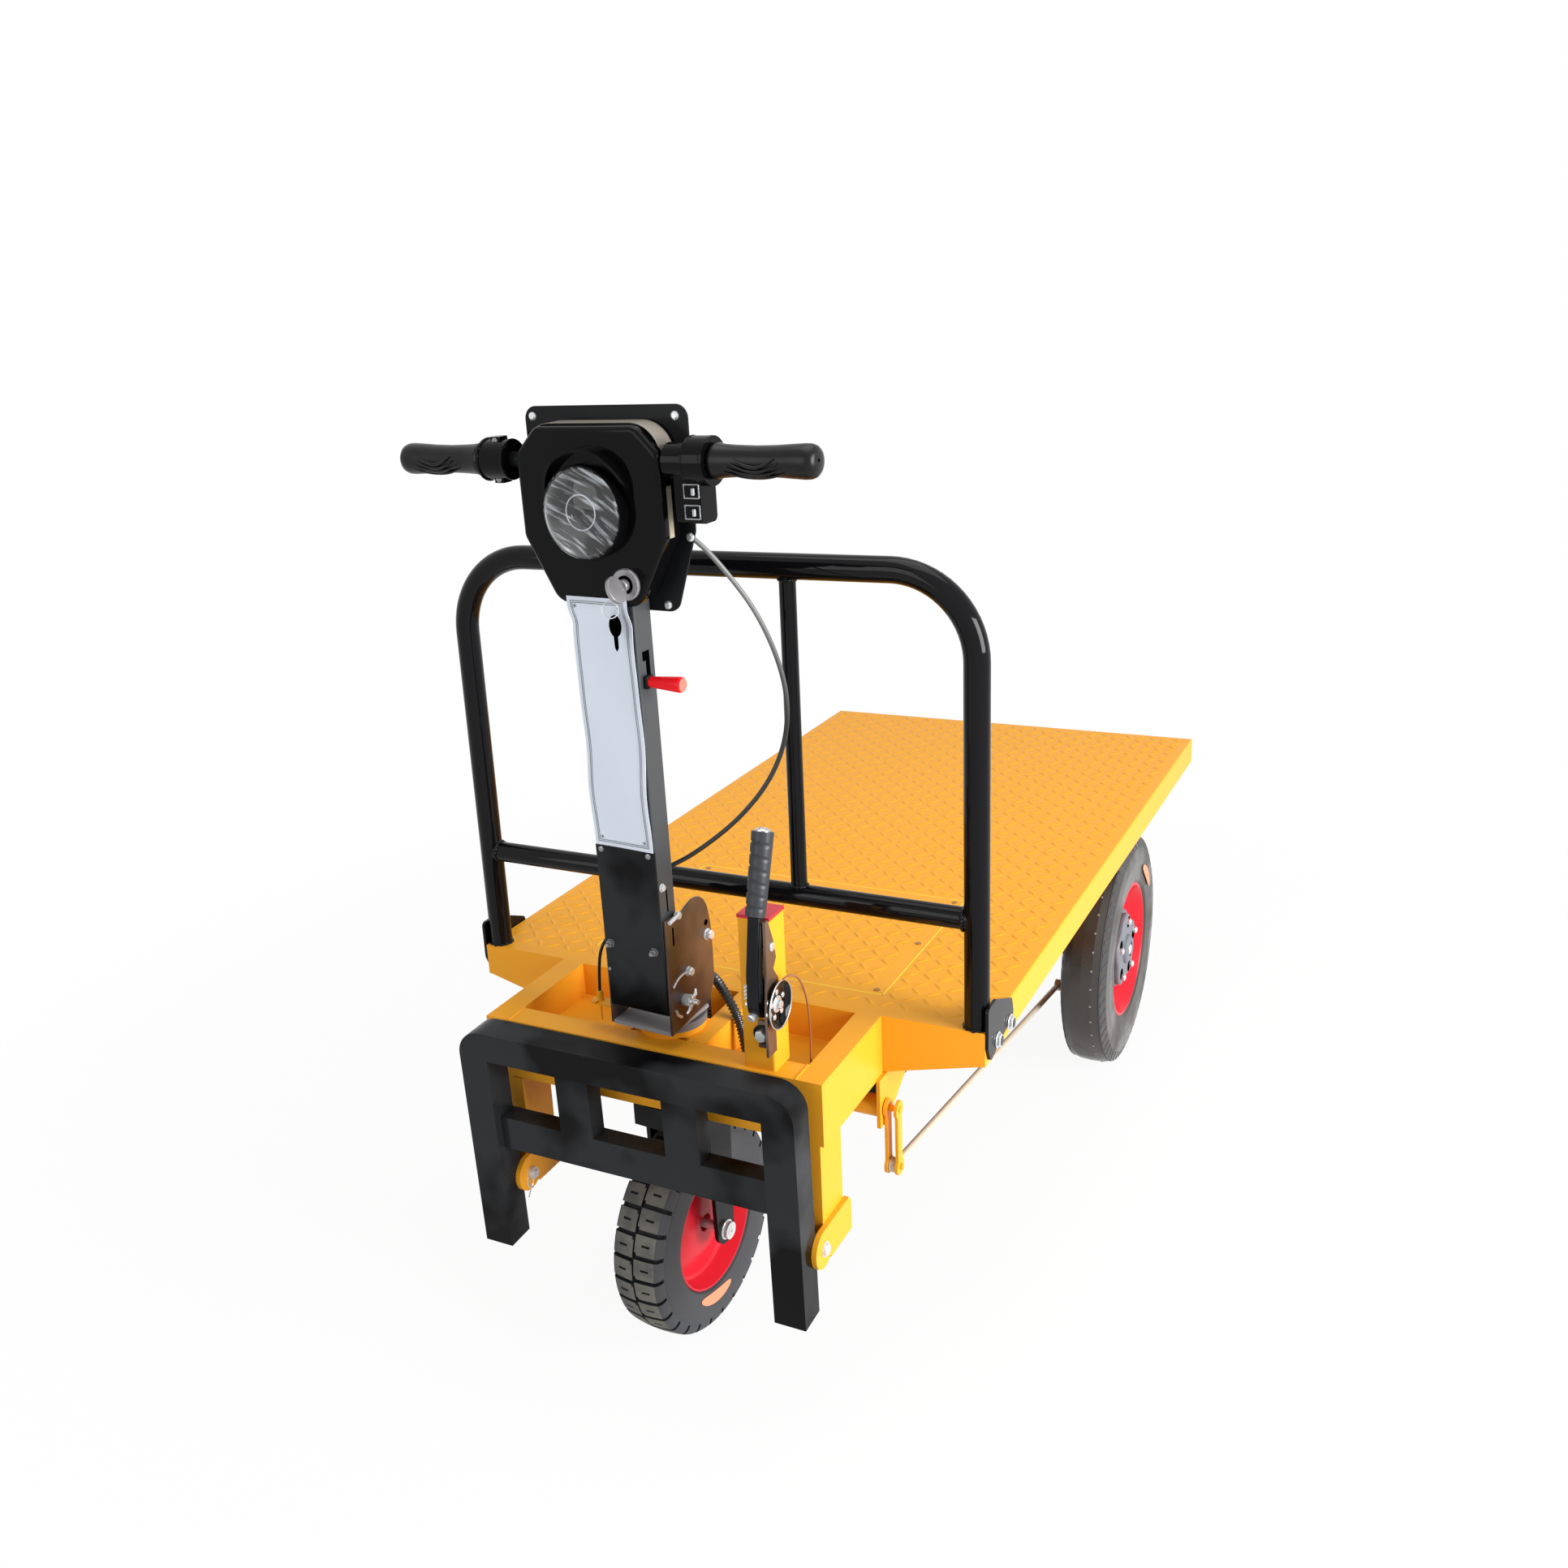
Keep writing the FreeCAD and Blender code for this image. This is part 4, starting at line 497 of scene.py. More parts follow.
def tread():
    """Lentil lugs, turned one way and the other."""
    outline = [(-14.5, 0), (-8, 3.2), (8, 3.2), (14.5, 0), (8, -3.2), (-8, -3.2)]
    ridge = [(-8, 0), (8, 0)]
    flat = [(0, 1, 6), (1, 2, 7, 6), (2, 3, 7), (3, 4, 7), (4, 5, 6, 7), (5, 0, 6)]
    points, faces = [], []
    for row in range(int(DECK_LENGTH / TREAD_PITCH) + 1):
        for column in range(-TREAD_COLUMNS, TREAD_COLUMNS + 1):
            x, y = column * TREAD_PITCH, (row + 0.4) * TREAD_PITCH
            if near_edge(x, y):
                continue
            a = radians(45 if (row + column) % 2 else -45)
            start = len(points)
            for (u, v), h in [(at, 0) for at in outline] + [(at, LUG_HEIGHT) for at in ridge]:
                points.append((x + u * cos(a) - v * sin(a), y + u * sin(a) + v * cos(a), DECK_TOP + h))
            faces += [tuple(start + v for v in face) for face in flat]
    on_chassis("deck_tread", [(points, faces)], "yellow_paint", smooth=60)


def hatch_details():
    """Pale seam round the hatch lid, and its six screws."""
    screws = []
    for x in (-HATCH_HALF + 14, HATCH_HALF - 14):
        for y in (HATCH_FRONT + 13, (HATCH_FRONT + HATCH_BACK) / 2, HATCH_BACK - 13):
            screws.append(drum((x, y, DECK_TOP), UP, 5, 1.4, 16, 0.6))
    seam = []
    low, high = DECK_TOP - 1, DECK_TOP + 0.25
    for x in (-HATCH_HALF - 0.75, HATCH_HALF + 0.75):
        seam.append(block((x - 1.2, HATCH_FRONT - 2, low), (x + 1.2, HATCH_BACK + 2, high)))
    for y in (HATCH_FRONT - 0.75, HATCH_BACK + 0.75):
        seam.append(block((-HATCH_HALF - 2, y - 1.2, low), (HATCH_HALF + 2, y + 1.2, high)))
    on_chassis("hatch_seam", seam, "yellow_paint", "seam_yellow")
    on_chassis("hatch_screws", screws, "zinc_steel", "dull_brass")


GUARD_Y = 20
GUARD_X = 431.3
CROSS_Z = 712.6
GUARD_TOP = 1220.4
MIDDLE_POST_X = 149
TUBE_RADIUS = 18.5
FOOT_LENGTH = 118
FOOT_FACE = 455.3


def guard_details():
    """Weld rings of the guard's tubes, and the bolts of its feet."""
    welds = []
    for s in (-1, 1):
        welds += [bead((s * (GUARD_X - TUBE_RADIUS), GUARD_Y, CROSS_Z), RIGHT, 17, 3, 3 + s),
                  bead((s * GUARD_X, GUARD_Y, DECK_TOP + 1), UP, 19, 2.6, 8 + s)]
    welds += [bead((MIDDLE_POST_X, GUARD_Y, CROSS_Z + 16), UP, 12.6, 2.8, 5),
              bead((MIDDLE_POST_X, GUARD_Y, GUARD_TOP - TUBE_RADIUS), UP, 12.6, 2.6, 6)]
    on_chassis("guard_welds", welds, "black_gloss_paint", smooth=80)
    bolts = []
    for s in (-1, 1):
        for y in (FOOT_LENGTH * 0.38, FOOT_LENGTH * 0.9):
            bolts += nut((s * FOOT_FACE, y, DECK_TOP - 30), (s, 0, 0), 13, 1.8, 19, 5.1)
    on_chassis("foot_bolts", bolts, "zinc_steel", "bright_screw", bevel=0.6)


def nose_welds():
    """Weld runs where the nose frame's rails meet."""
    runs = []
    rng = random.Random(4)
    steps = 24
    for x0, y0, x1, y1 in ((-246, -224, -246, -181), (246, -224, 246, -181), (48, -180, 79, -180),
                           (-79, -180, -48, -180)):
        line, radii = [], []
        for i in range(steps + 1):
            t = i / steps
            line.append(Vector((x0 + (x1 - x0) * t, y0 + (y1 - y0) * t, DECK_TOP - 0.6)))
            radii.append(2.2 + 0.5 * sin(i * 1.9) + rng.uniform(-0.2, 0.2))
        runs.append(sweep(line, radii, 8))
    on_chassis("nose_welds", runs, "yellow_paint", smooth=80)


# ---- hand brake ----
POST_TOP = 773
POST_FRONT = -216
SECTOR_X = 216.3
GRIP_FOOT = Vector((198.3, POST_FRONT - 13, POST_TOP + 12))
GRIP_RUN = Vector((0, 0.3, 0.954)).normalized()
BRAKE_GRIP_LENGTH = 117
ANCHOR = (197.3, POST_FRONT, POST_TOP - 172)


def brake_grip():
    """Moulded grip with slanting grooves on its front, and the release button on top."""
    length = BRAKE_GRIP_LENGTH
    steps = 60
    profile = [(0, 12.5)] + [(length * i / steps, 14.3 + 1.7 * i / steps) for i in range(steps + 1)]
    profile.append((length, 12))
    points, faces = lathe(GRIP_FOOT, GRIP_RUN, profile, 36)
    slanted = []
    for at in points:
        offset = Vector(at) - GRIP_FOOT
        along = offset.dot(GRIP_RUN)
        outward = (offset - GRIP_RUN * along).normalized()
        lean = 0.34 * offset.x * sin(pi * min(1, max(0, along / length)))
        ring = round(steps * along / length)
        grooved = 5 < ring < 56 and ring % 9 in (6, 7)
        facing = max(0, -outward.y - 0.25 * outward.x)
        depth = 1.9 * facing ** 0.5 if grooved else 0
        slanted.append(tuple(Vector(at) - GRIP_RUN * lean - outward * depth))
    grip = on_chassis("brake_grip_ribbed", [(slanted, faces)], "grey_plastic", smooth=50)
    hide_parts("brake_grip")
    button = [(0, 11.5), (2, 11.5), (3.4, 10), (3.4, 7), (5, 6.3), (5.6, 4)]
    on_chassis("brake_button", [lathe(GRIP_FOOT + GRIP_RUN * length, GRIP_RUN, button, 24)], "bright_steel")


def brake_fixings():
    """Anchor lug of the lever and the pins and bolts round it."""
    on_chassis("brake_anchor", [drum(ANCHOR, FRONT, 15, 8, 32, 1.5)], "black_satin_paint")
    front, top = POST_FRONT, POST_TOP
    bolts = [hexagon((ANCHOR[0], front - 8, ANCHOR[2]), FRONT, 17, 8),
             drum((SECTOR_X, front - 5, top - 34), RIGHT, 6.5, 2.6, 20, 0.8),
             drum((188.5, front - 24, top - 118), (-1, 0, 0), 4.5, 6, 16, 1),
             drum((200, front - 14, top - 127), (-0.25, -1, -0.35), 6.5, 24, 20, 1.5),
             drum((SECTOR_X, front - 22, top - 112), RIGHT, 4.6, 5, 16, 1),
             drum((SECTOR_X, front - 26, top - 128), RIGHT, 4.6, 5, 16, 1)]
    on_chassis("brake_bolts", bolts, "bright_steel", "bright_screw")


def lever_and_pulley():
    """Channel lever with its ratchet teeth, and the cupped cable wheel with a bright rim."""
    front, top = POST_FRONT, POST_TOP
    outline = [(-34, -68), (-36, -112), (-33, -125), (-26, -135), (-15, -140), (-4, -139), (-2, -128),
               (-4, -105), (-12, -80), (-15, -73), (-6, 10), (-20, 14)]
    shape = [prism([(front + y, top + z) for y, z in outline], "x", 189.3, 207.3)]
    cheek = [(-33, -66), (-34, -108), (-24, -116), (-20, -70), (-14, 4), (-20, 6)]
    shape.append(prism([(front + y, top + z) for y, z in cheek], "x", 206, 210))
    lever = on_chassis("brake_lever_channel", shape, "black_satin_paint", bevel=3)
    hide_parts("brake_lever")
    teeth = []
    for i in range(4):
        z = top - 103 + i * 5.5
        tooth = [(front + y, z + h) for y, h in ((-39, 0), (-34, 2), (-39, 4), (-31, 4), (-31, 0))]
        teeth.append(prism(tooth, "x", 187.8, 191))
    on_chassis("brake_teeth", teeth, "bright_steel", "bright_screw")
    centre = (SECTOR_X, front - 2, top - 122)
    cup = [(0, 12), (0, 24), (3.5, 31), (8, 34.5), (9.5, 35.5), (9.5, 33.5), (6, 30), (4, 24), (2.5, 12)]
    cup = [lathe(centre, RIGHT, cup + cup[:1], 64)]
    wheel = on_chassis("brake_pulley_cup", cup, "bright_steel", "black_gloss_paint")
    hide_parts("brake_pulley")
    x, y, z = centre
    rim = [hoop((x + 9.3, y, z), RIGHT, 35, 1.3, 64, 8)]
    on_chassis("brake_pulley_rim", rim, "bright_steel", "bright_rim", smooth=80)
    rivets = [drum((x + 0.5, y, z), RIGHT, 12.5, 5, 28, 1.5), hexagon((x + 5, y, z), RIGHT, 12, 6)]
    for angle in (20, 92, 164, 236, 308):
        at = (x + 3.4, *spoke((y, z), 19, radians(90 - angle)))
        rivets.append(drum(at, RIGHT, 4.2, 2, 16, 0.8))
    on_chassis("brake_pulley_rivets", rivets, "bright_steel", "bright_screw")


# ---- step ----
STEP_PIN = (-239.5, DECK_TOP - 258)


def step_details():
    """Heads of the step's pins, and the washers and split pin inside the left bracket."""
    y, z = STEP_PIN
    heads = []
    for s in (-1, 1):
        out = (s, 0, 0)
        heads += [drum((s * 289, y, z), out, 12, 1.8), drum((s * 290.8, y, z), out, 9, 4.6, 24, 1.5)]
    on_chassis("step_pin_heads", heads, "zinc_steel", "bright_screw")
    loop = [Vector((-222, y - 3 + 7 * sin(a), z - 2 - 12 * (1 - cos(a)))) for a in around(20)]
    tail = [Vector((x, y - back, z - low)) for x, back, low in (
        (-222, 3, 2), (-223, 6, 16), (-222, 5, 30), (-224, 9, 42))]
    pins = [sweep(loop, [1.1] * len(loop), 8), sweep(tail, [1.1] * len(tail), 8),
            drum((-229.5, y, z), RIGHT, 12.5, 2, 24), drum((-227.5, y, z), RIGHT, 6.2, 8, 20, 1)]
    on_chassis("step_split_pin", pins, "zinc_steel", "bright_screw")


# ---- turntable and tiller base ----
PLATE_FACE = 55


def slot_wear(radius, first, step, count):
    """Places along a curved slot round the pivot, bared to metal."""
    angles = (radians(first + step * i) for i in range(count))
    return [Vector((PLATE_FACE + 0.5, PIVOT[0] + radius * cos(a), PIVOT[1] + radius * sin(a)))
            for a in angles]


def base_details():
    """Pivot bolt with its wing nut, stop bolts and slots of the right quadrant plate."""
    x, (y, z) = PLATE_FACE, PIVOT
    bits = [hexagon((x + 6, y, z), RIGHT, 17, 7), rod((x + 10, y, z), (x + 24, y, z), 4),
            *nut((x, -168, 652.5), RIGHT, 7.5, 1.6, 11.5, 7, 20),
            *nut((x, -112, 689), RIGHT, 9, 1.6, 13, 8.5, 20),
            sweep(slot_wear(41, 78, 6, 10), [1.8] * 10, 8), sweep(slot_wear(26, 196, 8, 7), [2.4] * 7, 8),
            rod((x + 4, -213, 747), (x + 4, -188, 751), 3.4), drum((x, -189, 750), RIGHT, 6, 7, 16, 1)]
    on_steering("base_bolts", bits, "zinc_steel")
    # Flat black patches on the plate stand for its slots and hole: painted shade, with no opening cut.
    dark = [drum((x, -112, 708), RIGHT, 4.6, 0.5, 16), block((x, -201, 706), (x + 0.5, -198, 734)),
            drum((x + 7.5, y, z), RIGHT, 4, 0.5, 16)]
    on_steering("base_slots", dark, "black_rubber", "flat_black_and_painted_shade")
    wings = []
    for tip in ((7, 10, 11, 15), (-9, -8, -15, -14)):
        line = [Vector((x + 12, y, z)), Vector((x + 15, y + tip[0], z + tip[1])),
                Vector((x + 13, y + tip[2], z + tip[3]))]
        wings.append(sweep(line, [3.4, 3, 1.6], 10))
    wings.append(drum((x + 6, y, z), RIGHT, 8.5, 10, 20, 2))
    on_steering("pivot_wing_nut", wings, "zinc_steel", "bright_screw")
    base_plates()


def base_plates():
    """Quadrant plates with a round rear lobe, the floor between them and the boss below."""
    side = [(-217.5, 568), (-217.5, 750), (-190, 750), (-180, 748.6), (-170, 749.5), (-158, 754),
            (-146, 757.6), (-134, 757.6), (-123, 753.5), (-114, 746.5), (-108, 737), (-104, 726),
            (-99.5, 706), (-97.5, 690), (-96.5, 650), (-97, 612), (-100.5, 603), (-107, 592),
            (-113, 584), (-116, 580)]
    inner = PLATE_FACE - 4
    shapes = [prism(side, "x", inner, PLATE_FACE), prism(side, "x", -PLATE_FACE, -inner),
              block((-PLATE_FACE - 10, -184, 724), (-PLATE_FACE, -172, 736))]
    # The black quadrant plates are finished brown: a painted reflection of the yellow frame round them.
    plates = on_steering("tiller_base_plates", shapes, "black_satin_paint", "black_with_painted_brown_reflection", bevel=0.8)
    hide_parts("tiller_base")
    floor = [block((-inner, -217, 566.8), (inner, -112, 572.6))]
    on_steering("tiller_base_floor", floor, "black_satin_paint", "pale_ledge")


FRONT_RADIUS = 176.3
FRONT_WHEEL = (-115, FRONT_RADIUS)


DOME_NUT = [(0, 13.5), (3, 13.2), (5.5, 11.5), (7, 8), (7.6, 3)]


def axle_nuts():
    y, z = FRONT_WHEEL
    bits = []
    for s in (-1, 1):
        out = (s, 0, 0)
        bits += [drum((s * 60, y, z), out, 16.5, 2.6, 36, 0.8), lathe((s * 62.4, y, z), out, DOME_NUT, 28)]
    on_steering("front_axle_nuts", bits, "zinc_steel", "bright_screw")


def dished_rim(name, node, at, axis, scale, matrix, body, bore=0.26):
    """Pressed rim: a rolled lip, a steep wall and a shallow cone to the hub."""
    profile = [(along * scale[0], radius * scale[1]) for along, radius in (
        (-1, 1), (1, 1), (1.03, 0.985), (1.03, 0.965), (0.98, 0.955), (0.45, 0.925), (0.3, 0.9),
        (0.24, 0.85), (0.3, 0.72), (0.46, 0.52), (0.54, 0.42), (0.54, bore), (-0.2, bore), (-0.2, 0.86),
        (-0.95, 0.95))]
    rim = piece(matrix, body, name, [lathe(at, axis, profile + profile[:1], 72)], "red_paint", smooth=32)
    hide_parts(node)


FRONT_BLOCKS = 28
GROOVES_FROM = 157
TOP_FROM = 172
TREAD_SIDE = [(38.4, 106.2), (42.5, 108), (45, 115), (46, 128), (45.8, 142), (44.6, 151),
              (44, 153), (43.2, 154), (43.4, 156.5), (43, 161), (41.4, 166.5), (39, 170.4),
              (36, 172.8)]
TREAD_TOP = [33, 28.5, 27, 26.6, 20, 13.4, 13, 9, 5, 2.4, 1.5, 1.1]


def groove_depth(x, phase):
    """Depth of the tread pattern at x across and phase (0 to 1) along one block."""
    side = phase if x > 0 else (phase + 0.15) % 1
    if abs(x) < 1.3:
        return 6.5
    if abs(x) < 2.6:
        return 0 if 0.09 < side < 0.91 else 4
    if side < 0.085 or side > 0.915:
        return 7
    if 13.2 < abs(x) < 26.8 and abs(side - 0.5) < 0.035:
        return 3
    return 0


def front_tread():
    """Front tyre: two rows of blocks with a sipe in each, and a plain sidewall."""
    half = TREAD_SIDE + [(x, FRONT_RADIUS - 3 * (x / 34) ** 2) for x in TREAD_TOP]
    profile = half + [(0, FRONT_RADIUS)] + [(-x, r) for x, r in reversed(half)]
    profile = [(36, 104)] + profile + [(-36, 104)]
    marks = [0, 0.08, 0.09, 0.2, 0.305, 0.317, 0.383, 0.395, 0.455, 0.467, 0.533, 0.545, 0.64, 0.76, 0.77,
             0.84, 0.905, 0.91, 0.92, 0.93, 0.94]
    turns = [(row + mark) / FRONT_BLOCKS for row in range(FRONT_BLOCKS) for mark in marks]
    points, depths = [], []
    for share in turns:
        for x, r in profile:
            depth = groove_depth(x, share * FRONT_BLOCKS % 1) if r > GROOVES_FROM else 0
            shoulder = r < TOP_FROM
            inward = copysign(0.8 * depth, x) if shoulder else 0
            low = r - (0.35 * depth if shoulder else depth)
            points.append((x - inward, *spoke(FRONT_WHEEL, low, TAU * share)))
            depths.append(depth)
    n = len(profile)
    faces, finish = [], []
    for i in range(len(turns)):
        k = (i + 1) % len(turns)
        for j in range(n - 1):
            faces.append((i * n + j, k * n + j, k * n + j + 1, i * n + j + 1))
            # Faces in the deep grooves take darker rubber as painted shade.
            deep = max(depths[v] for v in faces[-1]) > 1
            top = min(profile[j][1], profile[j + 1][1]) > TOP_FROM
            finish.append(2 if deep else 1 if top else 0)
    tyre = piece(STEERED, "front_wheel", "front_tyre_tread", [(points, faces)], "tyre", smooth=28)
    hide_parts("front_tyre")
    tyre.data.materials.append(materials["tyre_tread"])
    tyre.data.materials.append(materials["tyre_groove_painted_shade"])
    for face, index in zip(tyre.data.polygons, finish):
        face.material_index = index


def oval_label(name, matrix, body, centre, radius, at, half, x):
    """Blank oval sticker that follows a tyre's sidewall."""
    points = []
    for thick in (0, 0.5):
        for a in around(28):
            across = x[0] + (x[1] - x[0]) * (0.5 + 0.5 * sin(a)) + thick
            points.append((across, *spoke(centre, radius + half[1] * sin(a), at + half[0] * cos(a) / radius)))
    piece(matrix, body, name, [(points, plate(28))], "tyre", "orange_label")


REAR_MIDDLE = 398.5
REAR_AXLE = (1010, 242.3)
REAR_RIM_RADIUS = 141.3
HUB_FACE = 37


def rear_hub(side, name, on_wheel):
    """Lobed hub with bolts in pockets, whose darkness is painted shade."""
    out = (side, 0, 0)
    face = side * (REAR_MIDDLE + HUB_FACE)
    outline = [spoke(REAR_AXLE, 72 + 7 * cos(5 * a), a) for a in around(80)]
    low, high = sorted((side * (REAR_MIDDLE + HUB_FACE - 13), face))
    cone = lathe((side * (REAR_MIDDLE + 2), *REAR_AXLE), out, [(0, 84), (18, 84), (24, 78), (24, 20)], 48)
    on_wheel("hub_cover_" + name, [prism(outline, "x", low, high), cone], "grey_casting", bevel=4)
    bolts, dark = [], []
    for a in around(5):
        dark.append(drum((face - side * 1.5, *spoke(REAR_AXLE, 58, 0.16 - a)), out, 12, 2, 24))
        bolts.append(drum((face, *spoke(REAR_AXLE, 62, -a)), out, 7, 8, 18, 2.4))
    bolts.append(drum((face, *REAR_AXLE), out, 12, 9, 24, 3))
    dark.append(drum((face - side, *REAR_AXLE), out, 24, 1.8, 32))
    on_wheel("rear_bolts_" + name, bolts, "grey_casting", "bright_screw")
    # Flat black discs in the pockets and round the axle: painted shade.
    on_wheel("rear_recess_" + name, dark, "grey_casting", "flat_black_and_painted_shade")


def rear_wheel_details(side, name):
    """The hub, tread nubs, shoulder lugs and rings round the tread, the rim and the tyre's label."""
    body = "rear_wheel_" + name
    on_wheel = partial(piece, FIXED, body)
    rear_hub(side, name, on_wheel)
    nubs, lugs = [], []
    for a in around(40, 0.3):
        at = Vector((side * (REAR_MIDDLE + 20), *spoke(REAR_AXLE, 241, a)))
        nubs.append(lathe(at, (0, sin(a), cos(a)), [(-1, 2.8), (0.6, 2.4), (1.3, 1.2)], 6))
    for a in around(56):
        line = [(38.6, 234.2, a), (42, 224, a + 0.02), (44.8, 216, a + 0.04)]
        lugs += [ramp_lug(side * REAR_MIDDLE, s, line) for s in (-1, 1)]
    on_wheel("rear_nubs_" + name, nubs, "tyre", "tyre_light")
    on_wheel("rear_lugs_" + name, lugs, "tyre")
    lines = []
    for x, r, thick in ((0, 240.8, 1.4), (36, 236.4, 1.6), (-36, 236.4, 1.6)):
        lines.append(hoop((side * (REAR_MIDDLE + x), *REAR_AXLE), RIGHT, r, thick, 90, 6))
    on_wheel("rear_lines_" + name, lines, "tyre", smooth=80)
    dished_rim("rear_rim_dish_" + name, "rear_rim_" + name, (side * REAR_MIDDLE, *REAR_AXLE), (side, 0, 0),
               (40, REAR_RIM_RADIUS), FIXED, body)
    if side > 0:
        oval_label("rear_tyre_label", FIXED, body, REAR_AXLE, 176, radians(44.3), (50, 11), (446.4, 446.2))


def ramp_lug(middle, side, line):
    """Small block lying along the rear tyre's shoulder through (across, radius, angle) points."""
    points = []
    for x, r, a in line:
        for spread, lift in ((-0.02, -2), (0.02, -2), (0.016, 0.9), (-0.016, 0.9)):
            points.append((middle + side * (x + 0.5 * lift), *spoke(REAR_AXLE, r + 0.7 * lift, a + spread)))
    return points, skin(len(line), 4)


# ---- column and head ----
COLUMN_FRONT = -217
COLUMN_SIDE = 50
SHELL_FRONT = -227
FLANGE_FRONT = -176.7
LAMP_Z = 1336
LATCH_Z = 1103
BAR_Y, BAR_Z = -203, 1399


def cover_fixings():
    y = COLUMN_FRONT - 3
    fixings = [lathe((x, y, 852), FRONT, [(0, 4.5), (1.4, 4.2), (2.4, 2.4)], 16) for x in (-41, 40)]
    for x in (-40, 37):
        fixings += nut((x, y, 703.5), FRONT, 6.5, 1.5, 10, 5.5, 20)
        fixings.append(drum((x, y - 6, 703.5), FRONT, 3.2, 6, 14, 0.8))
    fixings.append(drum((-47, y, 660), FRONT, 2.8, 1.6, 12, 0.6))
    on_column("cover_fixings", fixings, "zinc_steel", "gunmetal")


def side_details():
    """Slots and bolt of the column's right side, and the red latch handle on its black stem."""
    x, z = COLUMN_SIDE, LATCH_Z
    on_column("column_side_bolt", nut((x, -208, 801), RIGHT, 6.5, 1, 9, 3.5), "zinc_steel")
    # The slots are flat black patches on the side: painted shade, with no opening cut.
    slots = [block((x, low, bottom), (x + 0.35, high, top)) for low, high, bottom, top in (
        (-206, -190, z + 29, z + 42), (-199, -190, z + 4, z + 30), (-199, -196, 760, 794))]
    on_column("column_slots", slots, "black_satin_paint", "flat_black_and_painted_shade")
    profile = [(6, 5), (7, 7.5), (13, 8), (51, 10.8), (56, 10.8), (58, 10), (58.5, 5)]
    handle = on_column("latch_knob", [lathe((x, -201, z), RIGHT, profile, 32)], "red_plastic")
    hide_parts("latch_handle")
    on_column("latch_stem", [block((x, -209, z - 9), (x + 7, -193, z + 9))], "black_satin_paint", bevel=1.5)
    end = [drum((x + 58.2, -201, z), RIGHT, 9.6, 0.8, 32, 0.4)]
    on_column("latch_knob_end", end, "red_plastic", "knob_end")


LABEL_HALF = 49.5
LABEL_LOW, LABEL_HIGH = 858, 1222
LABEL_LIFT = 10.6
LABEL_THICK = 0.7


def on_label(across, z, proud, steady):
    """Point on the wavy label, proud of its back. Its lifted top sways less past the lift steady."""
    rise = max(0, min(1, (z - 1180) / 30))
    lift = rise * rise * (3 - 2 * rise) * LABEL_LIFT
    wave = 0.9 * sin(z * 0.055) + 0.6 * sin(z * 0.021 + 2 * across / LABEL_HALF)
    sway = 1.6 * sin(z * 0.032) * (1 if lift < steady else 0.3)
    return Vector((-1.5 + across + sway, COLUMN_FRONT - 1.9 - lift - wave - proud, z))


def label_sheet():
    """Blank flexible label on the column, its top lifted over the shell's foot."""
    rows, columns = 60, 8
    points, faces = [], []
    for proud in (0, LABEL_THICK):
        for r in range(rows + 1):
            z = LABEL_LOW + (LABEL_HIGH - LABEL_LOW) * r / rows
            points += [on_label((-1 + 2 * c / columns) * LABEL_HALF, z, proud, 1) for c in range(columns + 1)]
    n = (rows + 1) * (columns + 1)
    for k in (0, n):
        for r in range(rows):
            for c in range(columns):
                a = k + r * (columns + 1) + c
                faces.append((a, a + 1, a + columns + 2, a + columns + 1))
    edge = list(range(columns))
    edge += [columns + r * (columns + 1) for r in range(rows)]
    edge += [rows * (columns + 1) + c for c in range(columns, 0, -1)]
    edge += [r * (columns + 1) for r in range(rows, 0, -1)]
    faces += [(a, b, b + n, a + n) for a, b in zip(edge, edge[1:] + edge[:1])]
    sheet = on_column("label_sheet", [(points, faces)], "white_label", smooth=40)
    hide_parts("column_label")
    label_frame()


def label_frame():
    """Double border and corner stars of the label."""
    steady = LABEL_LIFT * 0.99
    runs = []
    for inset in (6, 8.5):
        u, low, high = LABEL_HALF - inset, LABEL_LOW + inset, LABEL_HIGH - inset
        corners = [(-u, low), (u, low), (u, high), (-u, high)]
        for (u0, z0), (u1, z1) in zip(corners, corners[1:] + corners[:1]):
            line = [on_label(u0 + (u1 - u0) * i / 40, z0 + (z1 - z0) * i / 40, 1, steady) for i in range(41)]
            runs.append(sweep(line, [0.45] * len(line), 4))
    for s in (-1, 1):
        for z in (LABEL_LOW + 13, LABEL_HIGH - 13):
            at = on_label(s * (LABEL_HALF - 13), z, 1, steady)
            star = [(at.x + r * cos(a + 0.4), at.z + r * sin(a + 0.4))
                    for a, r in zip(around(8), (1.2, 3.2) * 4)]
            runs.append(prism(star, "y", at.y - 0.3, at.y + 0.3))
    on_column("label_frame", runs, "white_label", "frame_line", smooth=80)


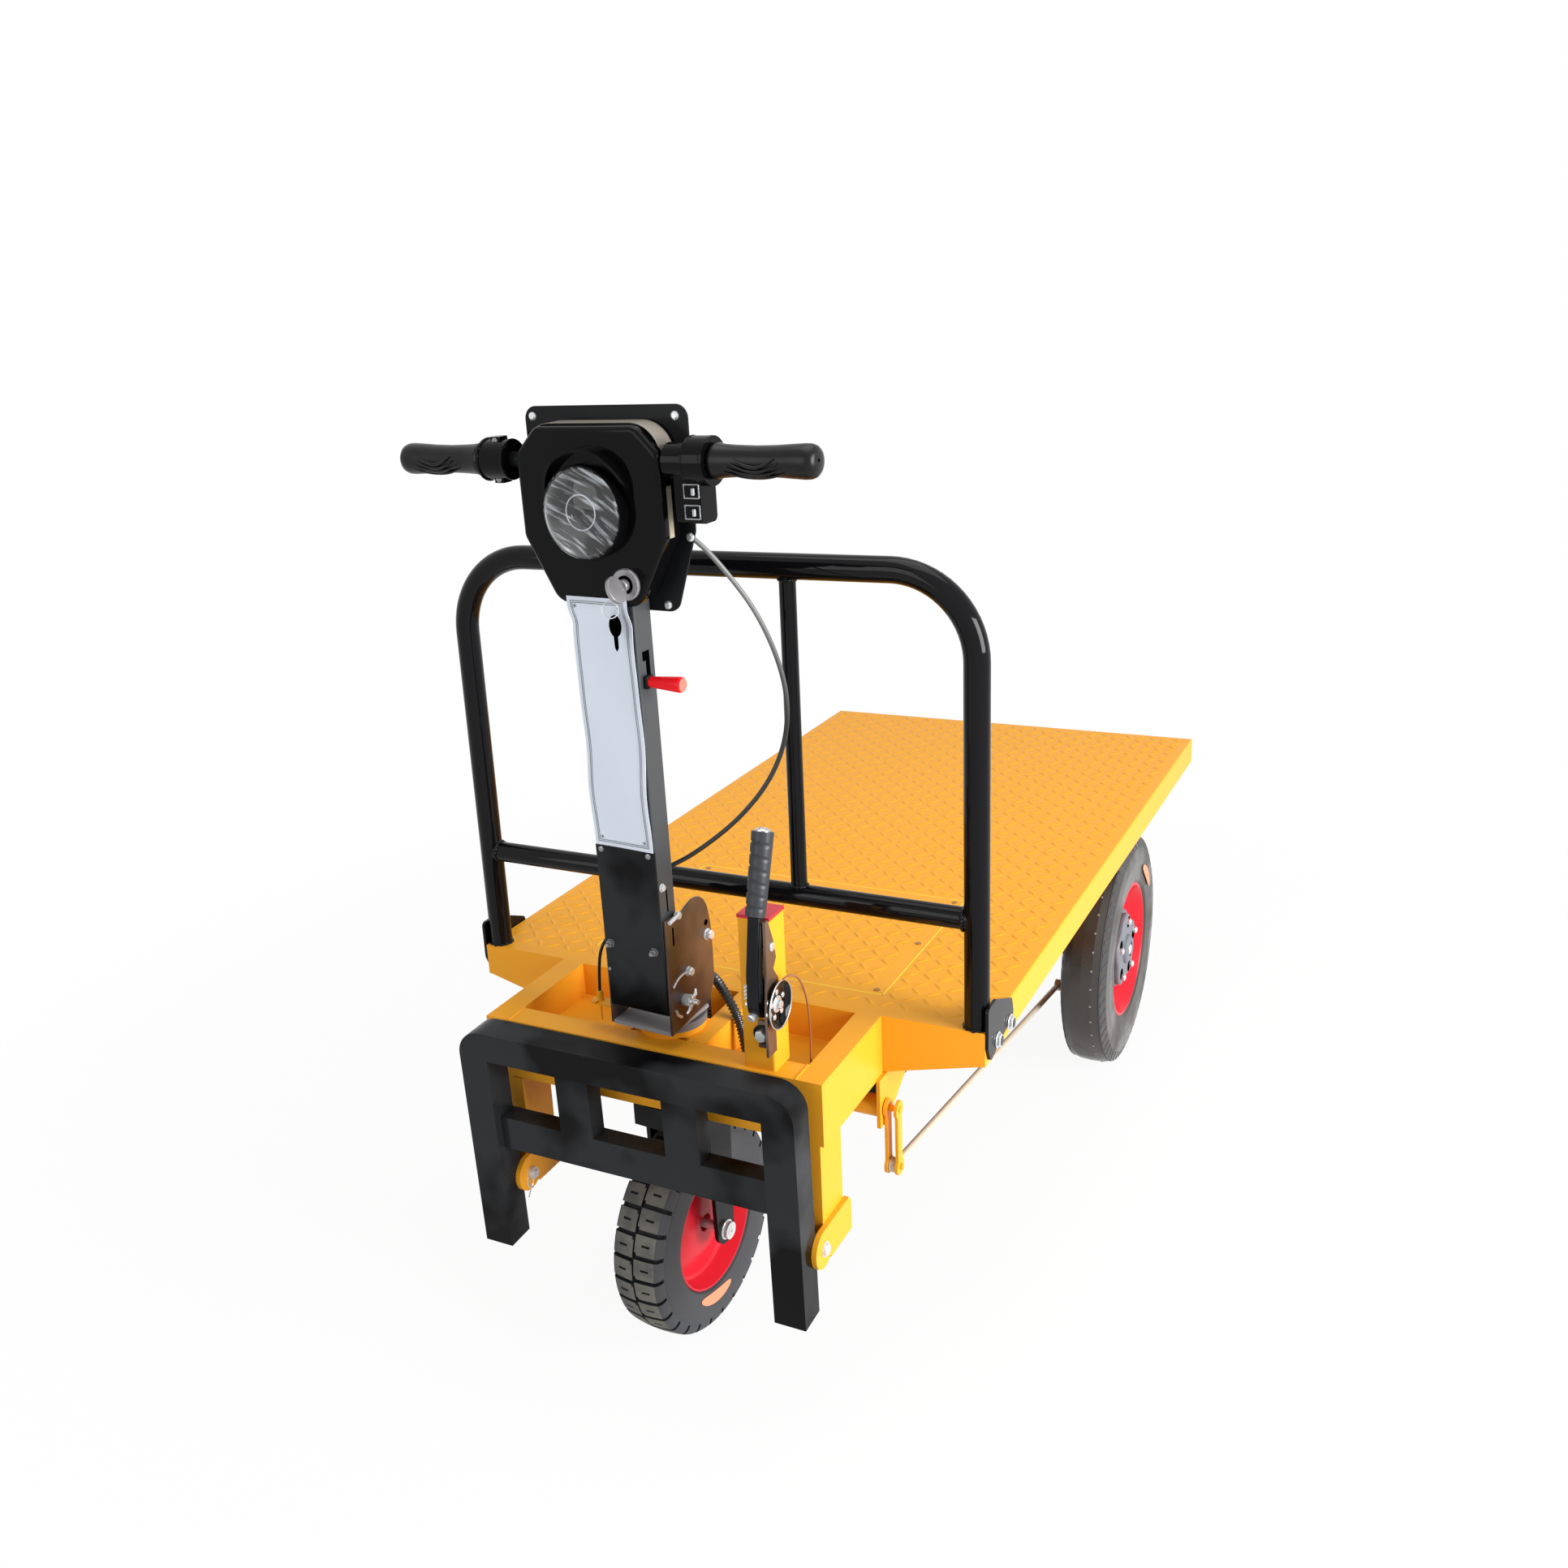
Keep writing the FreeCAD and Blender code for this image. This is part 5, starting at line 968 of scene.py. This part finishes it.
def lamp_details():
    """Reflector, domed glass and ring of the head lamp."""
    at = (0, SHELL_FRONT, LAMP_Z)
    bowl = [(2, 57), (17, 59), (17, 56)]
    bowl += [(17 - 12 * (1 - (r / 56) ** 2), r) for r in (50, 42, 34, 26, 18, 10, 4)] + [(2, 4)]
    # The reflector's pale streaks are painted highlights.
    on_column("lamp_reflector", [lathe(at, FRONT, bowl, 48)], "clear_lens", "reflector", smooth=20)
    dome = [(15, 60), (17, 61)]
    dome += [(15 + 21 * sqrt(1 - (r / 61.5) ** 2), r) for r in (59, 55, 48, 40, 30, 20, 10, 2)]
    inner = [(along - 1.6, radius * 0.97) for along, radius in reversed(dome[2:])]
    glass = lathe(at, FRONT, dome + inner + [(15, 58), (15, 60)], 64)
    lens = on_column("lamp_glass", [glass], "clear_lens", smooth=60)
    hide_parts("head_lamp")
    ring = [(0, 62.6), (15, 62.6), (18, 61.8), (18, 60.2), (15, 59.6), (0, 59.6)]
    on_column("lamp_ring", [lathe(at, FRONT, ring + ring[:1], 64)], "black_plastic")
    mark = [hoop((2, SHELL_FRONT - 21, LAMP_Z + 2), FRONT, 23, 0.9, 48, 6)]
    on_column("lamp_inner_ring", mark, "clear_lens", "lens_ring")


def body_details():
    """Screws of the flange, and painted reflections on the black body: a pale strip along its top edge and a
    pale panel at its side.
    """
    screws = []
    for x, z in ((-117, 1452.5), (112, 1451.5), (122, 1297), (-122, 1297), (79, 1204.8), (-79, 1204.8)):
        screws.append(lathe((x, FLANGE_FRONT, z), FRONT, [(0, 6), (1.6, 5.6), (3.2, 3.4)], 20))
    on_column("flange_screws", screws, "zinc_steel", "bright_screw")
    corner_x, corner_z = 64, LAMP_Z + 66
    strip = []
    for radius, way in ((45.6, 1), (45.1, -1)):
        arc = [(corner_x + radius * sin(a), corner_z + radius * cos(a))
               for a in (radians(90 * i / 12) for i in range(13))]
        half = [(-x, z) for x, z in reversed(arc)] + arc
        strip += half[::way]
    # A pale strip following the body's top edge: painted reflection of the light on the black plastic.
    on_column("body_top_painted_reflection", [prism(strip, "y", -212.6, -180.4)], "black_plastic", "painted_top_reflection")
    # A pale panel on the body's right side: painted reflection on the black plastic.
    panel = [block((108, -207, 1300), (111, -196, 1367))]
    on_column("body_side_painted_reflection", panel, "black_plastic", "pale_painted_reflection", bevel=1)


def lock_details():
    """Ignition lock with its key turned in it, and the second key on the ring."""
    x, y, z = 50, SHELL_FRONT, 1242
    ring = [(0, 21.5), (3.2, 21.5), (4.8, 20), (4.8, 12), (4, 11.5), (4, 0.5)]
    lock = on_column("lock_ring", [lathe((x, y, z), FRONT, ring, 48)], "zinc_steel", "key_metal")
    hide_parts("key_lock")
    bow = [(y - 27 + 17 * cos(a) * (1 - 0.12 * sin(a)), z - 2 + 18.5 * sin(a)) for a in around(32)]
    key_turn = turned(Matrix.Rotation(radians(-24), 4, "Y"), (x, y, z))
    key = [prism(bow, "x", x - 3, x + 3), drum((x, y, z), FRONT, 8.5, 13, 24, 1)]
    piece(TILTED @ key_turn, "column", "key_in_lock", key, "zinc_steel", "key_metal", bevel=1.6)
    # Flat black disc in the lock's face: painted shade of the keyway.
    on_column("lock_plug", [drum((x, y - 4.8, z), FRONT, 12.5, 0.8, 32)], "zinc_steel", "flat_black_and_painted_shade")
    wire = [hoop((x - 11, y - 27, z - 29), (0.45, -1, 0.1), 11, 0.9, 40, 6)]
    on_column("key_ring", wire, "zinc_steel", "bright_screw")
    head = [(x - 15 + 9.5 * cos(a), z - 54 + 15 * sin(a)) for a in around(24)]
    blade = [(x - 19, z - 68), (x - 12, z - 68), (x - 12.5, z - 84), (x - 15.5, z - 89), (x - 18.5, z - 84)]
    key = [prism(head, "y", y - 15, y - 12), prism(blade, "y", y - 14.2, y - 12.6)]
    # The hanging key is drawn in the same flat black.
    on_column("key_hanging", key, "zinc_steel", "flat_black_and_painted_shade", bevel=0.8)


def grip_details():
    """Grips shaped to the palm, with ridges moulded in their fronts."""
    palm = [(0, 13), (0, 21.5), (3, 23), (7, 22.4), (14, 20.8), (32, 19.6), (60, 18.8), (88, 19.4),
            (112, 20.8), (128, 21.6), (136, 21.2), (141, 19.4), (144.4, 16), (146.3, 11),
            (147, 4.5), (147, 0.5)]
    shapes = [lathe((s * 184, BAR_Y, BAR_Z), (s, 0, 0), palm, 48) for s in (-1, 1)]
    grips = on_column("grips_moulded", shapes, "black_rubber", "grip_rubber", smooth=50)
    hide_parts("grips")
    radii = [2.6 * sin(pi * (i + 1) / 22) + 0.2 for i in range(21)]
    ridges = []
    for s, centre in ((-1, 262), (1, 250)):
        for k in range(4):
            line = []
            for i in range(21):
                t = -1 + i / 10
                angle = radians(-62 + 16 * k + 46 * (1 - cos(t * 1.25)))
                reach = 20.6 + 0.4 * abs(t)
                line.append(Vector((s * (centre + t * (44 - 5 * k)), BAR_Y - reach * cos(angle),
                                    BAR_Z + reach * sin(angle))))
            ridges.append(sweep(line, radii, 8))
    on_column("grip_ridges", ridges, "black_rubber", "grip_rubber", smooth=80)
    # Flat black disc at the grip's end: painted shade of its hole.
    hole = [drum((330.6, BAR_Y - 3, BAR_Z + 2), RIGHT, 2.4, 0.5, 12)]
    on_column("grip_hole", hole, "black_rubber", "flat_black_and_painted_shade")


def control_details():
    """Lugs, rings and bolts of the bar's clamps, and the two sliding switches."""
    lugs = [block((-166, BAR_Y - 9, BAR_Z + 18), (-150, BAR_Y + 9, BAR_Z + 31)),
            block((-166, BAR_Y - 9, BAR_Z - 31), (-150, BAR_Y + 9, BAR_Z - 18))]
    for x, radius, thick, sides in ((-178, 27, 2.6, 40), (-138, 25.5, 2.4, 40), (152, 30, 2, 44),
                                    (178, 29.5, 2, 44)):
        lugs.append(hoop((x, BAR_Y, BAR_Z), RIGHT, radius, thick, sides, 8))
    on_column("clamp_lugs", lugs, "black_plastic", bevel=2.5)
    heads = [drum((-158, BAR_Y - 8, BAR_Z + h), FRONT, 5, 3, 16, 1) for h in (25, -25)]
    on_column("clamp_bolts", heads, "zinc_steel", "gunmetal")
    frames, sliders = [], []
    for low in (1355, 1329):
        outline = [(146, low), (168, low), (168, low + 17), (146, low + 17)]
        for (x0, z0), (x1, z1) in zip(outline, outline[1:] + outline[:1]):
            frames.append(rod((x0, -221.2, z0), (x1, -221.2, z1), 1.1, 8))
        sliders.append(block((159, -226, low + 4), (163, -222, low + 13)))
    on_column("switch_frames", frames, "black_plastic", "gunmetal")
    on_column("switch_sliders", sliders, "black_plastic", "slider_white", bevel=0.8)


# ---- camera, light and floor ----
LIT_POINT = Vector((0, 0, 0.6))
CAMERA_AT = Vector((1.0514, SHIFT_Y * MM - 1.8857, 1.5885))
YAW, PITCH, ROLL = (radians(a) for a in (-28.66, -18.19, -3.34))


def add_camera():
    data = bpy.data.cameras.new("camera")
    data.sensor_width = 36
    data.lens = 33.926
    data.shift_x = 0.0447
    data.shift_y = 0.001
    data.clip_start = 0.05
    forward = Vector((sin(YAW) * cos(PITCH), cos(YAW) * cos(PITCH), sin(PITCH)))
    right = Vector((cos(YAW), -sin(YAW), 0))
    up = right.cross(forward)
    level = cos(ROLL) * right + sin(ROLL) * up
    upright = -sin(ROLL) * right + cos(ROLL) * up
    rotation = Matrix((level, upright, -forward)).transposed()
    camera = add_object("camera", data)
    camera.matrix_world = Matrix.Translation(CAMERA_AT) @ rotation.to_4x4()
    bpy.context.scene.camera = camera


def lamp(name, at, size, power):
    data = bpy.data.lights.new(name, "AREA")
    data.shape = "RECTANGLE"
    data.size, data.size_y = size
    data.energy = power
    obj = add_object(name, data)
    obj.location = at
    obj.rotation_euler = (LIT_POINT - Vector(at)).to_track_quat("-Z", "Y").to_euler()


def sees_background(nodes, links):
    """1 for the rays that show the background: the camera's, and those in metal and glass."""
    path = add_node(nodes, "LightPath")
    most = path.outputs["Is Camera Ray"]
    for ray in ("Is Glossy Ray", "Is Transmission Ray"):
        pick = add_node(nodes, "Math")
        pick.operation = "MAXIMUM"
        links.new(most, pick.inputs[0])
        links.new(path.outputs[ray], pick.inputs[1])
        most = pick.outputs[0]
    return most


def mix_shaders(links, mix, share, first, second, output):
    for source, socket in ((share, 0), (first.outputs[0], 1), (second.outputs[0], 2)):
        links.new(source, mix.inputs[socket])
    links.new(mix.outputs[0], output.inputs["Surface"])


def add_world():
    """White background, and a weaker white sky that lights the object."""
    world = bpy.data.worlds.new("studio")
    bpy.context.scene.world = world
    world.use_nodes = True
    nodes, links = world.node_tree.nodes, world.node_tree.links
    white = (1, 1, 1, 1)
    lighting = set_inputs(nodes["Background"], Color=white, Strength=0.32)
    shown = add_node(nodes, "Background", Color=white, Strength=1)
    mix = add_node(nodes, "MixShader")
    mix_shaders(links, mix, sees_background(nodes, links), lighting, shown, nodes["World Output"])


def add_floor():
    """White floor, a little greyer round the object."""
    size = 30.0
    mesh = bpy.data.meshes.new("floor")
    mesh.from_pydata([(-size, -size, 0), (size, -size, 0), (size, size, 0), (-size, size, 0)], [],
                     [(0, 1, 2, 3)])
    floor = add_object("floor", mesh)
    m = bpy.data.materials.new("floor_white")
    m.use_nodes = True
    nodes, links = m.node_tree.nodes, m.node_tree.links
    shader = set_inputs(nodes["Principled BSDF"], Base_Color=(0.86, 0.86, 0.86, 1), Roughness=0.9)
    glow = add_node(nodes, "Emission", Strength=1)
    place = add_node(nodes, "TexCoord")
    away = add_node(nodes, "VectorMath")
    away.operation = "LENGTH"
    whiter = add_node(nodes, "MapRange")
    whiter.interpolation_type = "SMOOTHSTEP"
    set_inputs(whiter, From_Min=0.9, From_Max=2.6, To_Min=0.93, To_Max=1)
    share = add_node(nodes, "Math")
    share.operation = "MULTIPLY"
    mix = add_node(nodes, "MixShader")
    links.new(place.outputs["Object"], away.inputs[0])
    links.new(away.outputs["Value"], whiter.inputs["Value"])
    links.new(sees_background(nodes, links), share.inputs[0])
    links.new(whiter.outputs[0], share.inputs[1])
    mix_shaders(links, mix, share.outputs[0], shader, glow, nodes["Material Output"])
    mesh.materials.append(m)


# ---- putting it together ----
make_materials()
dress_cad()
cord("brake_wire_line", "brake_wire", BRAKE_WIRE_ROUTE, 1.5, "brown_cable", "chassis")
cord("conduit_hose", "conduit", CONDUIT_ROUTE, 8, "black_rubber", "chassis", "hose_black", ribbed=True)
cord("control_cable_line", "control_cable", CONTROL_CABLE_ROUTE, 3.5, "bright_steel", "column",
     "armoured_cable")
cord("left_cable_line", "left_cable", LEFT_CABLE_ROUTE, 2.4, "black_rubber", "steering")
tread()
hatch_details()
guard_details()
nose_welds()
brake_grip()
brake_fixings()
lever_and_pulley()
step_details()
base_details()
axle_nuts()
front_tread()
dished_rim("front_rim_dish", "front_rim", (0, *FRONT_WHEEL), RIGHT, (38.5, 105.2), STEERED,
           "front_wheel", 0.14)
oval_label("front_tyre_label", STEERED, "front_wheel", FRONT_WHEEL, 120, radians(189.5), (46, 9.5),
           (44.6, 46.9))
rear_wheel_details(-1, "left")
rear_wheel_details(1, "right")
cover_fixings()
side_details()
label_sheet()
lamp_details()
body_details()
lock_details()
grip_details()
control_details()
add_camera()
add_world()
add_floor()
lamp("key", (4.6, -1, 1.9), (2.6, 2.2), 330)
lamp("top", (0.3, -0.3, 4.6), (3, 3), 70)
lamp("front", (-1.6, -4.6, 2.2), (2.5, 2.5), 45)
bpy.context.scene.view_settings.view_transform = "Standard"
